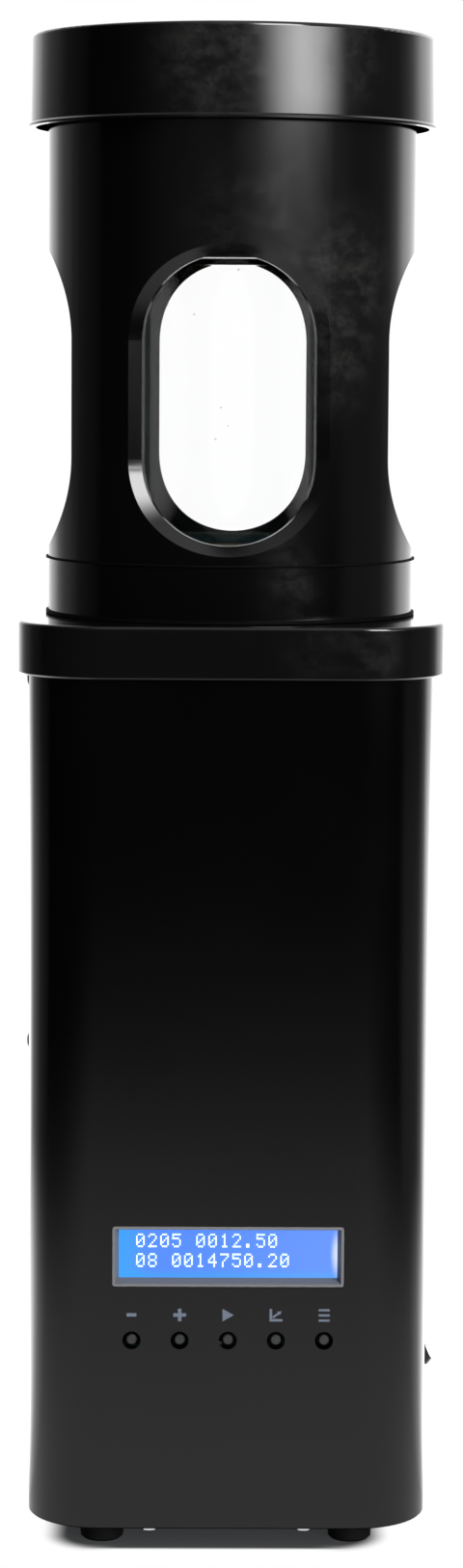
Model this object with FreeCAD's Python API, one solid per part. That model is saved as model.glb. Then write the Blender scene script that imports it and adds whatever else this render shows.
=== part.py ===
import FreeCAD
import Part
import math
import os

# Countertop fluid-bed coffee roaster, in millimetres.
# +Z is up, the front with the display faces -Y, and the origin is on the
# surface it stands on, on the axis of the round upper parts.
# From the bottom up: rubber feet, a square sleeve that holds the blower, the
# heater and the electronics, a collar, the roast chamber with its ring, the
# windowed chaff collector with a glass chimney, and a lift-off lid.

# ---- Fits and clearances -------------------------------------------------
slip_fit = 0.4            # radial play between parts that lift apart
close_fit = 0.2           # radial play between parts that stay together
running_fit = 0.05        # radial play of the shaft in its bearings
seat_gap = 0.2            # height between a lift-off part and its seat
screw_play = 0.15         # radial play of a screw in its hole
past = 1.0                # how far a cutter runs past what it cuts

# ---- Housing sleeve ------------------------------------------------------
foot_height = 9.0         # floor to the lower edge of the sleeve
body_width = 119.0
body_corner = 22.0
body_wall = 1.5
body_height = 253.2       # lower edge of the sleeve to the collar
body_edge = 0.4           # chamfer round the lower edge
sheet = 1.5               # inner plates and brackets

# ---- Collar --------------------------------------------------------------
collar_overhang = 3.1     # beyond the sleeve on every side
collar_height = 15.4
collar_roof = 3.0
collar_top_round = 1.0
collar_bottom_edge = 0.5  # chamfer
well_wall = 2.0
boss_radius = 3.5
boss_inset = 16.5         # bosses in from the sides of the sleeve

# ---- Roast chamber -------------------------------------------------------
chamber_seal_height = 1.1
ring_height = 15.5
ring_wall = 3.0
spigot_inset = 9.2        # in from the ring's outside
spigot_wall = 2.5
spigot_depth = 10.0
cup_radius = 37.0
cup_wall = 1.0
cup_depth = 54.7          # below the ring's lower face
cup_lip = 3.0
cup_flange = 1.0          # wider than the spigot in radius
cup_rise = 0.1            # above the collector's lower edge
air_plate_sheet = 1.5
air_slot_count = 20
air_slot_width = 1.4
air_slot_length = 11.0
air_slot_slant = 35.0
air_outer_ring = 0.58     # of the cup's inner radius
air_inner_ring = 0.22
air_inner_length = 0.5    # of the outer slots' length
seal_lip = 0.7            # how far both seals stand out of the rings

# ---- Chaff collector -----------------------------------------------------
collector_radius = 55.2
collector_height = 146.1
collector_seal_height = 0.7
collector_turn = -1.4     # degrees; it is round and stands a little turned
window_wall = 4.5         # wall of the windowed length
upper_wall = 3.0          # wall above the chaff tray
rim_wall = 2.0            # wall above the chaff screen
tray_ledge = 88.6         # chaff tray above the collector's lower edge
screen_ledge = 135.1      # chaff screen above the collector's lower edge
floor_rise = 1.3
floor_drop = 1.0
collector_spigot_depth = 5.5
window_count = 4
window_centre = 47.5      # above the collector's lower edge
window_chord = 50.8       # narrowest width, straight across
window_height = 84.2
window_end = 24.9         # height of each rounded end
window_bevel = 3.0        # depth of the bevel, and its width at the ends
window_side_bevel = 2.7   # its width at the sides, along the wall
window_past = 2.0         # how far its cutter runs past the wall
glass_radius = 40.0
glass_wall = 4.0
glass_seal_height = 1.0
tray_thickness = 4.0
tray_groove = 2.0
chimney_rise = 26.0
chimney_wall = 2.5
screen_sheet = 1.2
screen_rows = 4
screen_slots = 5          # slots in the first row, and as many more in each further row
screen_slot_width = 2.0
screen_slot_length = 0.7  # of the pitch between the rows

# ---- Lid -----------------------------------------------------------------
lid_gap = 3.8             # between the skirt's lower edge and the collector
lid_draft = 0.5           # the top is this much smaller in radius
lid_height = 27.1
lid_wall = 1.6
lid_roof = 2.2
lid_overlap = 18.0        # how far the skirt hangs over the collector
lid_top_round = 1.2
lid_bead = 0.7
lid_bead_height = 1.2
lid_bead_edge = 0.5       # chamfer
lid_rib_count = 8
lid_rib_thickness = 1.8
lid_rib_reach = 7.2       # in from the collector's rim
lid_rib_leg = 5.0

# ---- Feet and screws -----------------------------------------------------
foot_radius = 7.0
foot_taper = 0.6
foot_pitch = 74.8
foot_recess_radius = 4.2
foot_recess_depth = 4.0
foot_chamfer = 0.8
foot_screw_radius = 2.0
foot_screw_head = 3.6
foot_screw_head_height = 2.4
foot_screw_end = 4.0      # thread that stands above the base plate
screw_chamfer = 0.6
screw_recess = 3.2        # across the cross recess in a base screw
screw_recess_width = 0.8
screw_recess_depth = 1.2
base_screw_radius = 1.5
base_screw_head = 3.0
base_screw_head_height = 2.4
base_screw_pitch = 46.0
base_screw_inset = 7.5    # from the front and rear faces
lug_width = 12.0
lug_depth = 12.0
side_screw_radius = 2.0
side_screw_head = 3.8
side_screw_head_height = 2.2
side_screw_hex = 1.25
side_screw_socket = 1.3
side_screw_length = 6.0
lower_screw_height = 145.4
upper_screw_drop = 4.8    # below the collar
collar_screw_reach = 6.0  # thread that stands in the collar's bosses
tab_width = 24.0
tab_length = 11.0
intake_radius = 30.0
intake_slot = 3.0
intake_pitch = 6.0
intake_slot_round = 1.47

# ---- Heater --------------------------------------------------------------
heater_radius = 33.2
heater_wall = 1.0
heater_flange = 8.0
liner_wall = 0.8
socket_wall = 1.4
socket_height = 9.0
socket_drop = 1.0
former_margin = 6.0
former_sheet = 1.0
coil_radius = 24.0
coil_ribbon = 2.4          # height of the flat resistance wire
coil_thickness = 0.5
coil_pitch = 10.0
probe_radius = 1.5
probe_drop = 4.0
probe_tip = 6.0           # from the axis
probe_hub = 6.0
cutout_radius = 8.0
cutout_height = 6.0
cutout_cap = 3.0
cutout_tab = 4.0
cutout_cap_radius = 0.7   # of the disc's radius
cutout_tab_place = 0.45   # of the disc's radius, out from its middle

# ---- Blower --------------------------------------------------------------
blower_radius = 42.0
blower_wall = 1.8
blower_height = 26.0
blower_eye = 17.0
blower_flare = 1.2
blower_outlet = 30.0
impeller_radius = 36.0
impeller_hub = 6.0
impeller_height = 10.0
impeller_plate = 1.2
impeller_lift = 2.5       # above the blower's floor
blade_count = 9
blade_inner = 15.0
blade_sweep = 50.0
blade_thickness = 1.2
shaft_radius = 2.5
shaft_tail = 1.0
impeller_hub_rise = 2.0
motor_radius = 20.0
motor_wall = 1.5
motor_length = 34.0
motor_drop = 4.0          # below the blower's floor
bearing_radius = 8.0
bearing_width = 5.0
core_radius = 13.0
core_gap = 1.5
mount_sheet = 2.0
mount_arm = 8.0
mount_reach = 33.0
mount_post = 3.0
mount_arms = 3

# ---- Display and buttons -------------------------------------------------
display_height = 91.5     # centre above the floor
display_width = 68.6
display_tall = 18.4
display_corner = 1.0
bezel_front = 1.0         # width of the bezel's rim at the face of the sleeve
bezel_back = 2.0          # and at the panel
bezel_depth = 4.0
panel_width = 65.6
panel_tall = 16.0
panel_sheet = 1.0
frame_width = 71.2
frame_tall = 24.2
frame_depth = 6.5
module_width = 80.0
module_tall = 36.0
board_sheet = 1.6
board_gap = 2.5           # between the display board and the control board
header_inset = 4.0
header_tall = 2.5
control_width = 80.0
control_margin = 13.0
button_height = 66.3
button_pitch = 14.2
button_count = 5
button_hole = 2.7
button_stem = 1.55
button_sink = 0.8         # stems end this far inside the face
button_collar = 2.4
button_travel = 0.5
switch_width = 6.0
switch_depth = 3.5
switch_lid = 1.0
switch_play = 0.1
button_collar_sheet = 0.6
button_edge = 0.3         # chamfer of a stem's end
stud_radius = 2.5
stud_spread = 68.0
stud_bore = 1.25
stud_edge = 1.0           # board left outside a stud
stud_end = 1.0            # thread beyond the nut
nut_radius = 3.1
nut_height = 2.4

# ---- Power board ---------------------------------------------------------
power_width = 80.0
power_tall = 54.0
power_bottom = 62.0
power_stud = 12.0
transformer_size = 24.0
transformer_tall = 20.0
transformer_deep = 15.0
transformer_place = -16.0 # its right side along X
capacitor_radius = 6.0
capacitor_length = 16.0
part_spacing = 3.0
relay_width = 16.0
relay_tall = 14.0
relay_deep = 12.0
relay_place = 8.0         # its middle along X, and the capacitor's
sink_width = 22.0
sink_tall = 26.0
sink_deep = 14.0
sink_fins = 6
sink_fin = 1.4
sink_base = 3.0
sink_left = 18.0

# ---- Mains inlet and power switch ----------------------------------------
inlet_height = 36.0
inlet_width = 27.4
inlet_tall = 20.0
inlet_flange = 2.0
inlet_flange_sheet = 2.0
inlet_depth = 22.0
inlet_mouth_width = 24.2
inlet_mouth_tall = 16.4
inlet_mouth_depth = 17.0
inlet_corner = 1.0
inlet_flange_corner = 2.0
inlet_chamfer = 4.0
pin_width = 2.0
pin_tall = 4.0
pin_recess = 5.0
pin_spacing = 7.0
pin_rise = 2.0
pin_tail = 7.0
pin_play = 0.05
rocker_height = 52.0
rocker_end_wall = 0.8     # of the switch body, above and below the rocker
rocker_side_wall = 1.1
rocker_flange = 1.0
rocker_flange_sheet = 2.0
rocker_body_depth = 18.0
rocker_length = 15.8      # tip to tip
rocker_width = 8.0        # across the face
rocker_rise = 1.4         # how far the tips stand out of the middle
rocker_nose = 1.5         # how far each end runs on past its tip
rocker_flare = 0.4        # and each side past the face
rocker_bevel = 1.8        # how far back they do so
rocker_tilt = 12.0
rocker_depth = 6.0
rocker_pivot_depth = 4.0
rocker_pin = 1.2
rocker_gap = 0.3
rocker_pin_seat = 0.6
rocker_pin_play = 0.1
rocker_flange_corner = 0.8
terminal_width = 4.8
terminal_sheet = 0.8
terminal_length = 7.0
terminal_pitch = 6.0

# ---- Heights and radii that follow ---------------------------------------
half_body = body_width / 2
inner_half = half_body - body_wall
inner_corner = body_corner - body_wall
plate_half = inner_half - close_fit
plate_corner = inner_corner - close_fit
base_top = foot_height + sheet
collar_bottom = foot_height + body_height
collar_top = collar_bottom + collar_height
half_collar = half_body + collar_overhang
collar_corner = body_corner + collar_overhang
ring_bottom = collar_top + chamber_seal_height
ring_top = ring_bottom + ring_height
ring_inner = collector_radius - ring_wall
spigot_radius = collector_radius - spigot_inset
spigot_inner = spigot_radius - spigot_wall
spigot_bottom = ring_bottom - spigot_depth
well_radius = spigot_radius + slip_fit
cup_opening = cup_radius + slip_fit + cup_lip
cup_bottom = ring_bottom - cup_depth
cup_inner = cup_radius - cup_wall
cup_seat = ring_bottom + ring_wall
collector_bottom = ring_top + collector_seal_height
collector_top = collector_bottom + collector_height
collector_floor = collector_bottom + floor_rise
collector_inner = collector_radius - window_wall
collector_spigot = ring_inner - slip_fit
collector_mouth = cup_radius + slip_fit + close_fit
cup_top = collector_bottom + cup_rise
upper_inner = collector_radius - upper_wall
rim_inner = collector_radius - rim_wall
tray_bottom = collector_bottom + tray_ledge
screen_bottom = collector_bottom + screen_ledge
glass_inner = glass_radius - glass_wall
glass_bottom = collector_floor + glass_seal_height
glass_top = tray_bottom + tray_groove - close_fit
chimney_top = tray_bottom + chimney_rise
lid_radius = collector_radius + lid_gap + lid_wall
lid_rib_inner = rim_inner - lid_rib_reach
lid_bottom = collector_top - lid_overlap
lid_top = lid_bottom + lid_height
lid_ceiling = lid_top - lid_roof
upper_screw_height = collar_bottom - upper_screw_drop
upper_plate_bottom = collar_bottom - sheet
mid_plate_bottom = lower_screw_height + tab_length / 2 - sheet
mid_plate_top = mid_plate_bottom + sheet
heater_top = cup_bottom - socket_drop - socket_wall
heater_inner = heater_radius - heater_wall
liner_inner = heater_inner - close_fit - liner_wall
former_bottom = mid_plate_top + former_margin
former_top = heater_top - former_margin
blower_top = mid_plate_bottom
blower_bottom = blower_top - blower_height
impeller_bottom = blower_bottom + blower_wall + impeller_lift
motor_top = blower_bottom - motor_drop
motor_bottom = motor_top - motor_length
front_inner = -half_body + body_wall
panel_front = -half_body + bezel_depth
frame_back = panel_front + frame_depth
module_back = frame_back + board_sheet
control_front = module_back + board_gap
control_back = control_front + board_sheet
control_bottom = button_height - control_margin
control_top = display_height + module_tall / 2 + control_margin
power_front = inner_half - power_stud - board_sheet
rocker_tip = rocker_pivot_depth + rocker_rise
rocker_half = rocker_length / 2 + rocker_nose
rocker_side = rocker_width / 2 + rocker_flare
rocker_reach = rocker_gap + max(math.hypot(rocker_length / 2, rocker_tip),
                                math.hypot(rocker_half, rocker_tip - rocker_bevel))
rocker_barrel_tall = 2 * (rocker_reach + rocker_end_wall)
rocker_barrel_width = 2 * (rocker_side + rocker_gap + rocker_side_wall)
rocker_cutout_tall = rocker_barrel_tall + 2 * close_fit
rocker_cutout_width = rocker_barrel_width + 2 * close_fit
origin = FreeCAD.Vector(0, 0, 0)
along_x = FreeCAD.Vector(1, 0, 0)
along_y = FreeCAD.Vector(0, 1, 0)
along_z = FreeCAD.Vector(0, 0, 1)


# ---- Shared shapes -------------------------------------------------------
def vector(x, y, z):
    return FreeCAD.Vector(x, y, z)


def block(x_size, y_size, z_size, x, y, z):
    """A block centred on x and y that stands on z."""
    return Part.makeBox(x_size, y_size, z_size, vector(x - x_size / 2, y - y_size / 2, z))


def edges_along(shape, direction):
    """The straight edges of a shape that run along a direction."""
    found = []
    for edge in shape.Edges:
        if isinstance(edge.Curve, Part.Line):
            if edge.tangentAt(edge.FirstParameter).cross(direction).Length < 1e-6:
                found.append(edge)
    return found


def edges_at_height(shape, height):
    """The edges of a shape that lie level at a height."""
    found = []
    for edge in shape.Edges:
        box = edge.BoundBox
        if abs(box.ZMin - height) < 1e-4 and abs(box.ZMax - height) < 1e-4:
            found.append(edge)
    return found


def rounded_prism(half_width, corner, bottom, top):
    """A square prism with rounded upright corners, centred on the axis."""
    width = 2 * half_width
    prism = block(width, width, top - bottom, 0, 0, bottom)
    return prism.makeFillet(corner, edges_along(prism, along_z))


def wall_panel(width, tall, depth, corner, face_y, height):
    """A panel with rounded corners: width along X, tall along Z, from face_y back along +Y."""
    panel = Part.makeBox(width, depth, tall, vector(-width / 2, face_y, height - tall / 2))
    return panel.makeFillet(corner, edges_along(panel, along_y))


def cylinder(radius, bottom, top, x=0.0, y=0.0):
    return Part.makeCylinder(radius, top - bottom, vector(x, y, bottom), along_z)


def tube(outer, inner, bottom, top):
    return cylinder(outer, bottom, top).cut(cylinder(inner, bottom, top))


def revolved(outline):
    """A solid of revolution about Z from (radius, height) points."""
    points = [vector(radius, 0, height) for radius, height in outline]
    points.append(points[0])
    return Part.Face(Part.makePolygon(points)).revolve(origin, along_z, 360)


def turned(shape, degrees):
    """A copy of a shape turned about the Z axis."""
    copy = shape.copy()
    copy.rotate(origin, along_z, degrees)
    return copy


def ring_of(shape, count):
    """Copies of a shape spaced evenly round the Z axis."""
    return [turned(shape, 360.0 * index / count) for index in range(count)]


def four_corners(shape_at, x_pitch, y_pitch):
    """The shapes that shape_at(x, y) makes at the four corners of a rectangle."""
    shapes = []
    for x_side in (-1, 1):
        for y_side in (-1, 1):
            shapes.append(shape_at(x_side * x_pitch / 2, y_side * y_pitch / 2))
    return shapes


def cut_all(shape, tools):
    return shape.cut(Part.makeCompound(tools))


def joined(shapes):
    """One solid from shapes that overlap or share faces."""
    return shapes[0].multiFuse(shapes[1:]).removeSplitter()


def button_positions():
    """Where the buttons stand along X, left to right."""
    return [button_pitch * (index - (button_count - 1) / 2) for index in range(button_count)]


# ---- Housing -------------------------------------------------------------
def side_holes(radius):
    """Cutters for the two screws in each side of the sleeve and its brackets."""
    holes = []
    for height in (lower_screw_height, upper_screw_height):
        start = vector(-half_body - past, 0, height)
        holes.append(Part.makeCylinder(radius, body_width + 2 * past, start, along_x))
    return holes


def lug(x, side):
    """A lug that turns in from the lower edge of the sleeve for a base screw."""
    middle = side * (inner_half - lug_depth / 2 + body_wall / 2)
    plate = block(lug_width, lug_depth + body_wall, sheet, x, middle, base_top)
    screw_y = side * (half_body - base_screw_inset)
    hole = cylinder(base_screw_radius + screw_play, base_top - past, base_top + sheet + past, x, screw_y)
    return plate.cut(hole)


def body_shell():
    """The square sleeve, folded from sheet and welded, with every opening in its sides."""
    sleeve_top = collar_top - collar_roof
    outside = rounded_prism(half_body, body_corner, foot_height, sleeve_top)
    outside = outside.makeChamfer(body_edge, edges_at_height(outside, foot_height))
    inside = rounded_prism(inner_half, inner_corner, foot_height - past, sleeve_top + past)
    sleeve = outside.cut(inside)
    lugs = [lug(x, side) for x in (-base_screw_pitch / 2, base_screw_pitch / 2) for side in (-1, 1)]
    cutters = side_holes(side_screw_radius + screw_play)
    cutters.append(wall_panel(display_width, display_tall, 2 * body_wall, display_corner,
                              -half_body - body_wall / 2, display_height))
    for x in button_positions():
        start = vector(x, -half_body - past, button_height)
        cutters.append(Part.makeCylinder(button_hole, body_wall + 2 * past, start, along_y))
    cutters.append(wall_panel(inlet_width, inlet_tall, 2 * body_wall, inlet_corner,
                              inner_half - body_wall / 2, inlet_height))
    cutters.append(block(2 * body_wall, rocker_cutout_width, rocker_cutout_tall,
                         half_body - body_wall / 2, 0, rocker_height - rocker_cutout_tall / 2))
    return joined([cut_all(sleeve, cutters)] + lugs)


def intake_slots():
    """Straight slots clipped to a circle, for the air that the blower draws in."""
    slots = []
    rows = int(intake_radius / intake_pitch)
    for index in range(-rows, rows + 1):
        y = index * intake_pitch
        half = math.sqrt(max(intake_radius ** 2 - y ** 2, 0)) - intake_slot
        if half > intake_slot:
            slot = block(2 * half, intake_slot, sheet + 2 * past, 0, y, foot_height - past)
            slots.append(slot.makeFillet(intake_slot_round, edges_along(slot, along_z)))
    return slots


def base_plate():
    plate = rounded_prism(plate_half, plate_corner, foot_height, base_top)
    feet = four_corners(lambda x, y: cylinder(foot_screw_radius + screw_play, 0, base_top + past, x, y),
                        foot_pitch, foot_pitch)
    screws = four_corners(lambda x, y: cylinder(base_screw_radius + screw_play, 0, base_top + past, x, y),
                          base_screw_pitch, body_width - 2 * base_screw_inset)
    return cut_all(plate, feet + screws + intake_slots())


def rubber_foot(x, y):
    pad = Part.makeCone(foot_radius - foot_taper, foot_radius, foot_height, vector(x, y, 0), along_z)
    pad = pad.makeChamfer(foot_chamfer, edges_at_height(pad, 0))
    recess = cylinder(foot_recess_radius, -past, foot_recess_depth, x, y)
    hole = cylinder(foot_screw_radius + screw_play, -past, foot_height + past, x, y)
    return pad.cut(recess).cut(hole)


def foot_screw(x, y):
    under_head = foot_recess_depth
    head = cylinder(foot_screw_head, under_head - foot_screw_head_height, under_head, x, y)
    head = head.makeChamfer(screw_chamfer, edges_at_height(head, under_head - foot_screw_head_height))
    return joined([head, cylinder(foot_screw_radius, under_head, base_top + foot_screw_end, x, y)])


def base_screw(x, y):
    head_bottom = foot_height - base_screw_head_height
    head = cylinder(base_screw_head, head_bottom, foot_height, x, y)
    head = head.makeChamfer(screw_chamfer, edges_at_height(head, head_bottom))
    slot_a = block(screw_recess, screw_recess_width, screw_recess_depth, x, y, head_bottom)
    slot_b = block(screw_recess_width, screw_recess, screw_recess_depth, x, y, head_bottom)
    shank = cylinder(base_screw_radius, foot_height, base_top + 2 * sheet, x, y)
    return joined([head, shank]).cut(slot_a).cut(slot_b)


def side_screw(side, height):
    """A button-head screw with a hexagon socket, along X through the side of the sleeve."""
    face = side * half_body
    dome = (side_screw_head ** 2 + side_screw_head_height ** 2) / (2 * side_screw_head_height)
    centre = vector(face + side * (side_screw_head_height - dome), 0, height)
    outward = vector(side, 0, 0)
    head_blank = Part.makeCylinder(side_screw_head, side_screw_head_height, vector(face, 0, height), outward)
    head = Part.makeSphere(dome, centre).common(head_blank)
    shank = Part.makeCylinder(side_screw_radius, side_screw_length, vector(face, 0, height), outward * -1)
    socket = Part.Face(Part.makePolygon(
        [vector(face + side * side_screw_head_height,
                side_screw_hex * math.cos(math.radians(60 * corner)),
                height + side_screw_hex * math.sin(math.radians(60 * corner))) for corner in range(7)]))
    return joined([head, shank]).cut(socket.extrude(outward * -side_screw_socket))


def collar_screw_holes(bottom, top):
    """Cutters for the four screws that hold the collar."""
    pitch = body_width - 2 * boss_inset
    radius = base_screw_radius + screw_play
    return four_corners(lambda x, y: cylinder(radius, bottom, top, x, y), pitch, pitch)


def top_collar():
    """A cap over the sleeve's upper end, with a well that the roast chamber stands in."""
    outside = rounded_prism(half_collar, collar_corner, collar_bottom, collar_top)
    outside = outside.makeFillet(collar_top_round, edges_at_height(outside, collar_top))
    outside = outside.makeChamfer(collar_bottom_edge, edges_at_height(outside, collar_bottom))
    ceiling = collar_top - collar_roof
    inside = rounded_prism(half_body + close_fit, body_corner + close_fit, collar_bottom - past, ceiling)
    well = cylinder(well_radius + well_wall, collar_bottom, ceiling)
    pitch = body_width - 2 * boss_inset
    bosses = four_corners(lambda x, y: cylinder(boss_radius, collar_bottom, ceiling, x, y), pitch, pitch)
    solid = joined([outside.cut(inside), well] + bosses)
    mouth = cylinder(well_radius, collar_bottom + well_wall, collar_top + past)
    throat = cylinder(cup_opening, collar_bottom - past, collar_top)
    return cut_all(solid, collar_screw_holes(collar_bottom - past, ceiling - past) + [mouth, throat])


def bracket_tabs(height):
    """Two tabs that turn down from a plate, centred on a screw at a height."""
    tabs = []
    for side in (-1, 1):
        middle = side * (plate_half - sheet / 2)
        tabs.append(block(sheet, tab_width, tab_length, middle, 0, height - tab_length / 2))
    return tabs


def upper_plate():
    """The plate under the collar: it carries the collar and is screwed to the sleeve."""
    plate = rounded_prism(plate_half, plate_corner, upper_plate_bottom, collar_bottom)
    holes = collar_screw_holes(upper_plate_bottom - past, collar_bottom + past)
    holes.append(cylinder(cup_opening, upper_plate_bottom - past, collar_bottom + past))
    reach = upper_plate_bottom - upper_screw_height + tab_length / 2
    tabs = []
    for side in (-1, 1):
        middle = side * (plate_half - sheet / 2)
        tabs.append(block(sheet, tab_width, reach, middle, 0, upper_plate_bottom - reach))
    return cut_all(joined([plate] + tabs), holes + side_holes(side_screw_radius + screw_play))


def collar_screw(x, y):
    head_bottom = upper_plate_bottom - base_screw_head_height
    head = cylinder(base_screw_head, head_bottom, upper_plate_bottom, x, y)
    shank = cylinder(base_screw_radius, upper_plate_bottom, collar_bottom + collar_screw_reach, x, y)
    return joined([head, shank])


def mid_plate():
    """The plate between blower and heater, with tabs that take the lower side screws."""
    plate = rounded_prism(plate_half, plate_corner, mid_plate_bottom, mid_plate_top)
    duct = cylinder(blower_outlet, mid_plate_bottom - past, mid_plate_top + past)
    solid = joined([plate] + bracket_tabs(lower_screw_height))
    return cut_all(solid, [duct] + side_holes(side_screw_radius + screw_play))


# ---- Roast chamber -------------------------------------------------------
def chamber_seal():
    return tube(collector_radius + seal_lip, well_radius + well_wall, collar_top + seat_gap, ring_bottom)


def chamber_ring():
    return revolved([
        (collector_radius, ring_bottom),
        (collector_radius, ring_top),
        (ring_inner, ring_top),
        (ring_inner, cup_seat),
        (spigot_inner, cup_seat),
        (spigot_inner, spigot_bottom),
        (spigot_radius, spigot_bottom),
        (spigot_radius, ring_bottom),
    ])


def chamber_cup():
    """Spun steel cup with a flange that rests in the ring and a lip for the air plate."""
    flange = spigot_radius + cup_flange
    return revolved([
        (cup_radius, cup_bottom),
        (cup_radius, cup_seat),
        (flange, cup_seat),
        (flange, cup_seat + cup_wall),
        (cup_radius, cup_seat + cup_wall),
        (cup_radius, cup_top),
        (cup_inner, cup_top),
        (cup_inner, cup_bottom + cup_wall),
        (cup_inner - cup_lip, cup_bottom + cup_wall),
        (cup_inner - cup_lip, cup_bottom),
    ])


def air_slots(ring_radius, length, count, bottom):
    """Slanted slots spaced evenly on a circle."""
    slot = block(length, air_slot_width, air_plate_sheet + 2 * past, 0, 0, bottom - past)
    slot.rotate(vector(0, 0, bottom), along_z, air_slot_slant)
    slot.translate(vector(ring_radius, 0, 0))
    return ring_of(slot, count)


def air_plate():
    """Disc with swirl slots that turn the beans over."""
    bottom = cup_bottom + cup_wall
    disc = cylinder(cup_inner - close_fit, bottom, bottom + air_plate_sheet)
    outer = air_slots(air_outer_ring * cup_inner, air_slot_length, air_slot_count, bottom)
    inner = air_slots(air_inner_ring * cup_inner, air_inner_length * air_slot_length,
                      air_slot_count // 2, bottom)
    return cut_all(disc, outer + inner)


def socket_ring():
    """Fixed socket on the heater that the lower end of the cup stands in."""
    floor = heater_top
    outer = cup_radius + slip_fit + socket_wall
    return revolved([
        (heater_inner, floor),
        (outer, floor),
        (outer, floor + socket_height),
        (cup_radius + slip_fit, floor + socket_height),
        (cup_radius + slip_fit, floor + socket_wall),
        (heater_inner, floor + socket_wall),
    ])


# ---- Chaff collector -----------------------------------------------------
def window_outline(radius, growth):
    """The closed outline of a window on a cylinder, grown outwards by a distance.

    Across, the window is measured along the wall; its ends are half ellipses.
    """
    half_angle = math.asin(window_chord / 2 / (collector_radius - window_bevel))
    half_turn = half_angle + growth * window_side_bevel / window_bevel / collector_radius
    straight = window_height / 2 - window_end
    middle = collector_bottom + window_centre
    end = window_end + growth

    def at(angle, height):
        return vector(radius * math.sin(angle), -radius * math.cos(angle), middle + height)

    def rounded_end(side):
        steps = 6
        ways = [math.pi * step / steps for step in range(steps + 1)]
        points = [at(half_turn * math.cos(way), side * (straight + end * math.sin(way))) for way in ways]
        rise = along_z * side * end
        curve = Part.BSplineCurve()
        curve.interpolate(Points=points, Parameters=ways,
                          InitialTangent=rise, FinalTangent=-rise, Scale=False)
        return curve.toShape()

    right = Part.makeLine(at(half_turn, -straight), at(half_turn, straight))
    left = Part.makeLine(at(-half_turn, straight), at(-half_turn, -straight))
    return Part.Wire(Part.__sortEdges__([right, rounded_end(1), left, rounded_end(-1)]))


def window_cutter():
    """The hollow of one window: a radial land inside and a bevel all round outside."""
    inner = window_outline(collector_inner - window_past, 0)
    land = window_outline(collector_radius - window_bevel, 0)
    outer = window_outline(collector_radius + window_past, window_bevel + window_past)
    walls = Part.makeLoft([inner, land, outer], False, True)
    caps = [Part.makeFilledFace(inner.Edges), Part.makeFilledFace(outer.Edges)]
    shell = Part.Shell(walls.Faces + caps)
    shell.sewShape()
    cutter = Part.Solid(Part.Shell(shell.Faces))
    if cutter.Volume < 0:
        cutter.reverse()
    return cutter


def collector_body():
    """The windowed tube: floor and spigot below, ledges for the tray and the screen above."""
    wall = revolved([
        (collector_radius, collector_bottom),
        (collector_radius, collector_top),
        (rim_inner, collector_top),
        (rim_inner, screen_bottom),
        (upper_inner, screen_bottom),
        (upper_inner, tray_bottom),
        (collector_inner, tray_bottom),
        (collector_inner, collector_floor),
        (collector_mouth, collector_floor),
        (collector_mouth, collector_bottom - floor_drop),
        (collector_spigot - spigot_wall, collector_bottom - floor_drop),
        (collector_spigot - spigot_wall, collector_bottom - collector_spigot_depth),
        (collector_spigot, collector_bottom - collector_spigot_depth),
        (collector_spigot, collector_bottom),
    ])
    return turned(cut_all(wall, ring_of(window_cutter(), window_count)), collector_turn)


def collector_seal():
    return tube(collector_radius + seal_lip, ring_inner + close_fit, ring_top + seat_gap, collector_bottom)


def glass_seal():
    return tube(glass_radius + close_fit, collector_mouth, collector_floor, glass_bottom)


def glass_chimney():
    return tube(glass_radius, glass_inner, glass_bottom, glass_top)


def chaff_tray():
    """The floor that catches the chaff, with a short chimney above the glass."""
    return revolved([
        (upper_inner - close_fit, tray_bottom),
        (upper_inner - close_fit, tray_bottom + tray_thickness),
        (glass_inner + chimney_wall, tray_bottom + tray_thickness),
        (glass_inner + chimney_wall, chimney_top),
        (glass_inner, chimney_top),
        (glass_inner, tray_bottom + tray_groove),
        (glass_radius + close_fit, tray_bottom + tray_groove),
        (glass_radius + close_fit, tray_bottom),
    ])


def chaff_screen():
    """A slotted disc under the lid that holds the chaff back and lets the air out."""
    disc = cylinder(rim_inner - close_fit, screen_bottom, screen_bottom + screen_sheet)
    row_pitch = upper_inner / (screen_rows + 1)
    slots = []
    for row in range(1, screen_rows + 1):
        slot = block(screen_slot_length * row_pitch, screen_slot_width, screen_sheet + 2 * past,
                     row_pitch * row, 0, screen_bottom - past)
        slots += ring_of(slot, screen_slots * row)
    return cut_all(disc, slots)


# ---- Lid -----------------------------------------------------------------
def lid_rib():
    """A rib that rests on the collector's rim, with a leg that centres the lid in it."""
    length = lid_radius - lid_draft - lid_wall / 2 - lid_rib_inner
    middle = lid_rib_inner + length / 2
    upper = collector_top + seat_gap
    bar = block(length, lid_rib_thickness, lid_ceiling - upper, middle, 0, upper)
    leg_length = rim_inner - slip_fit - lid_rib_inner
    leg = block(leg_length, lid_rib_thickness, lid_rib_leg,
                lid_rib_inner + leg_length / 2, 0, upper - lid_rib_leg)
    return bar.fuse(leg)


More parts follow.
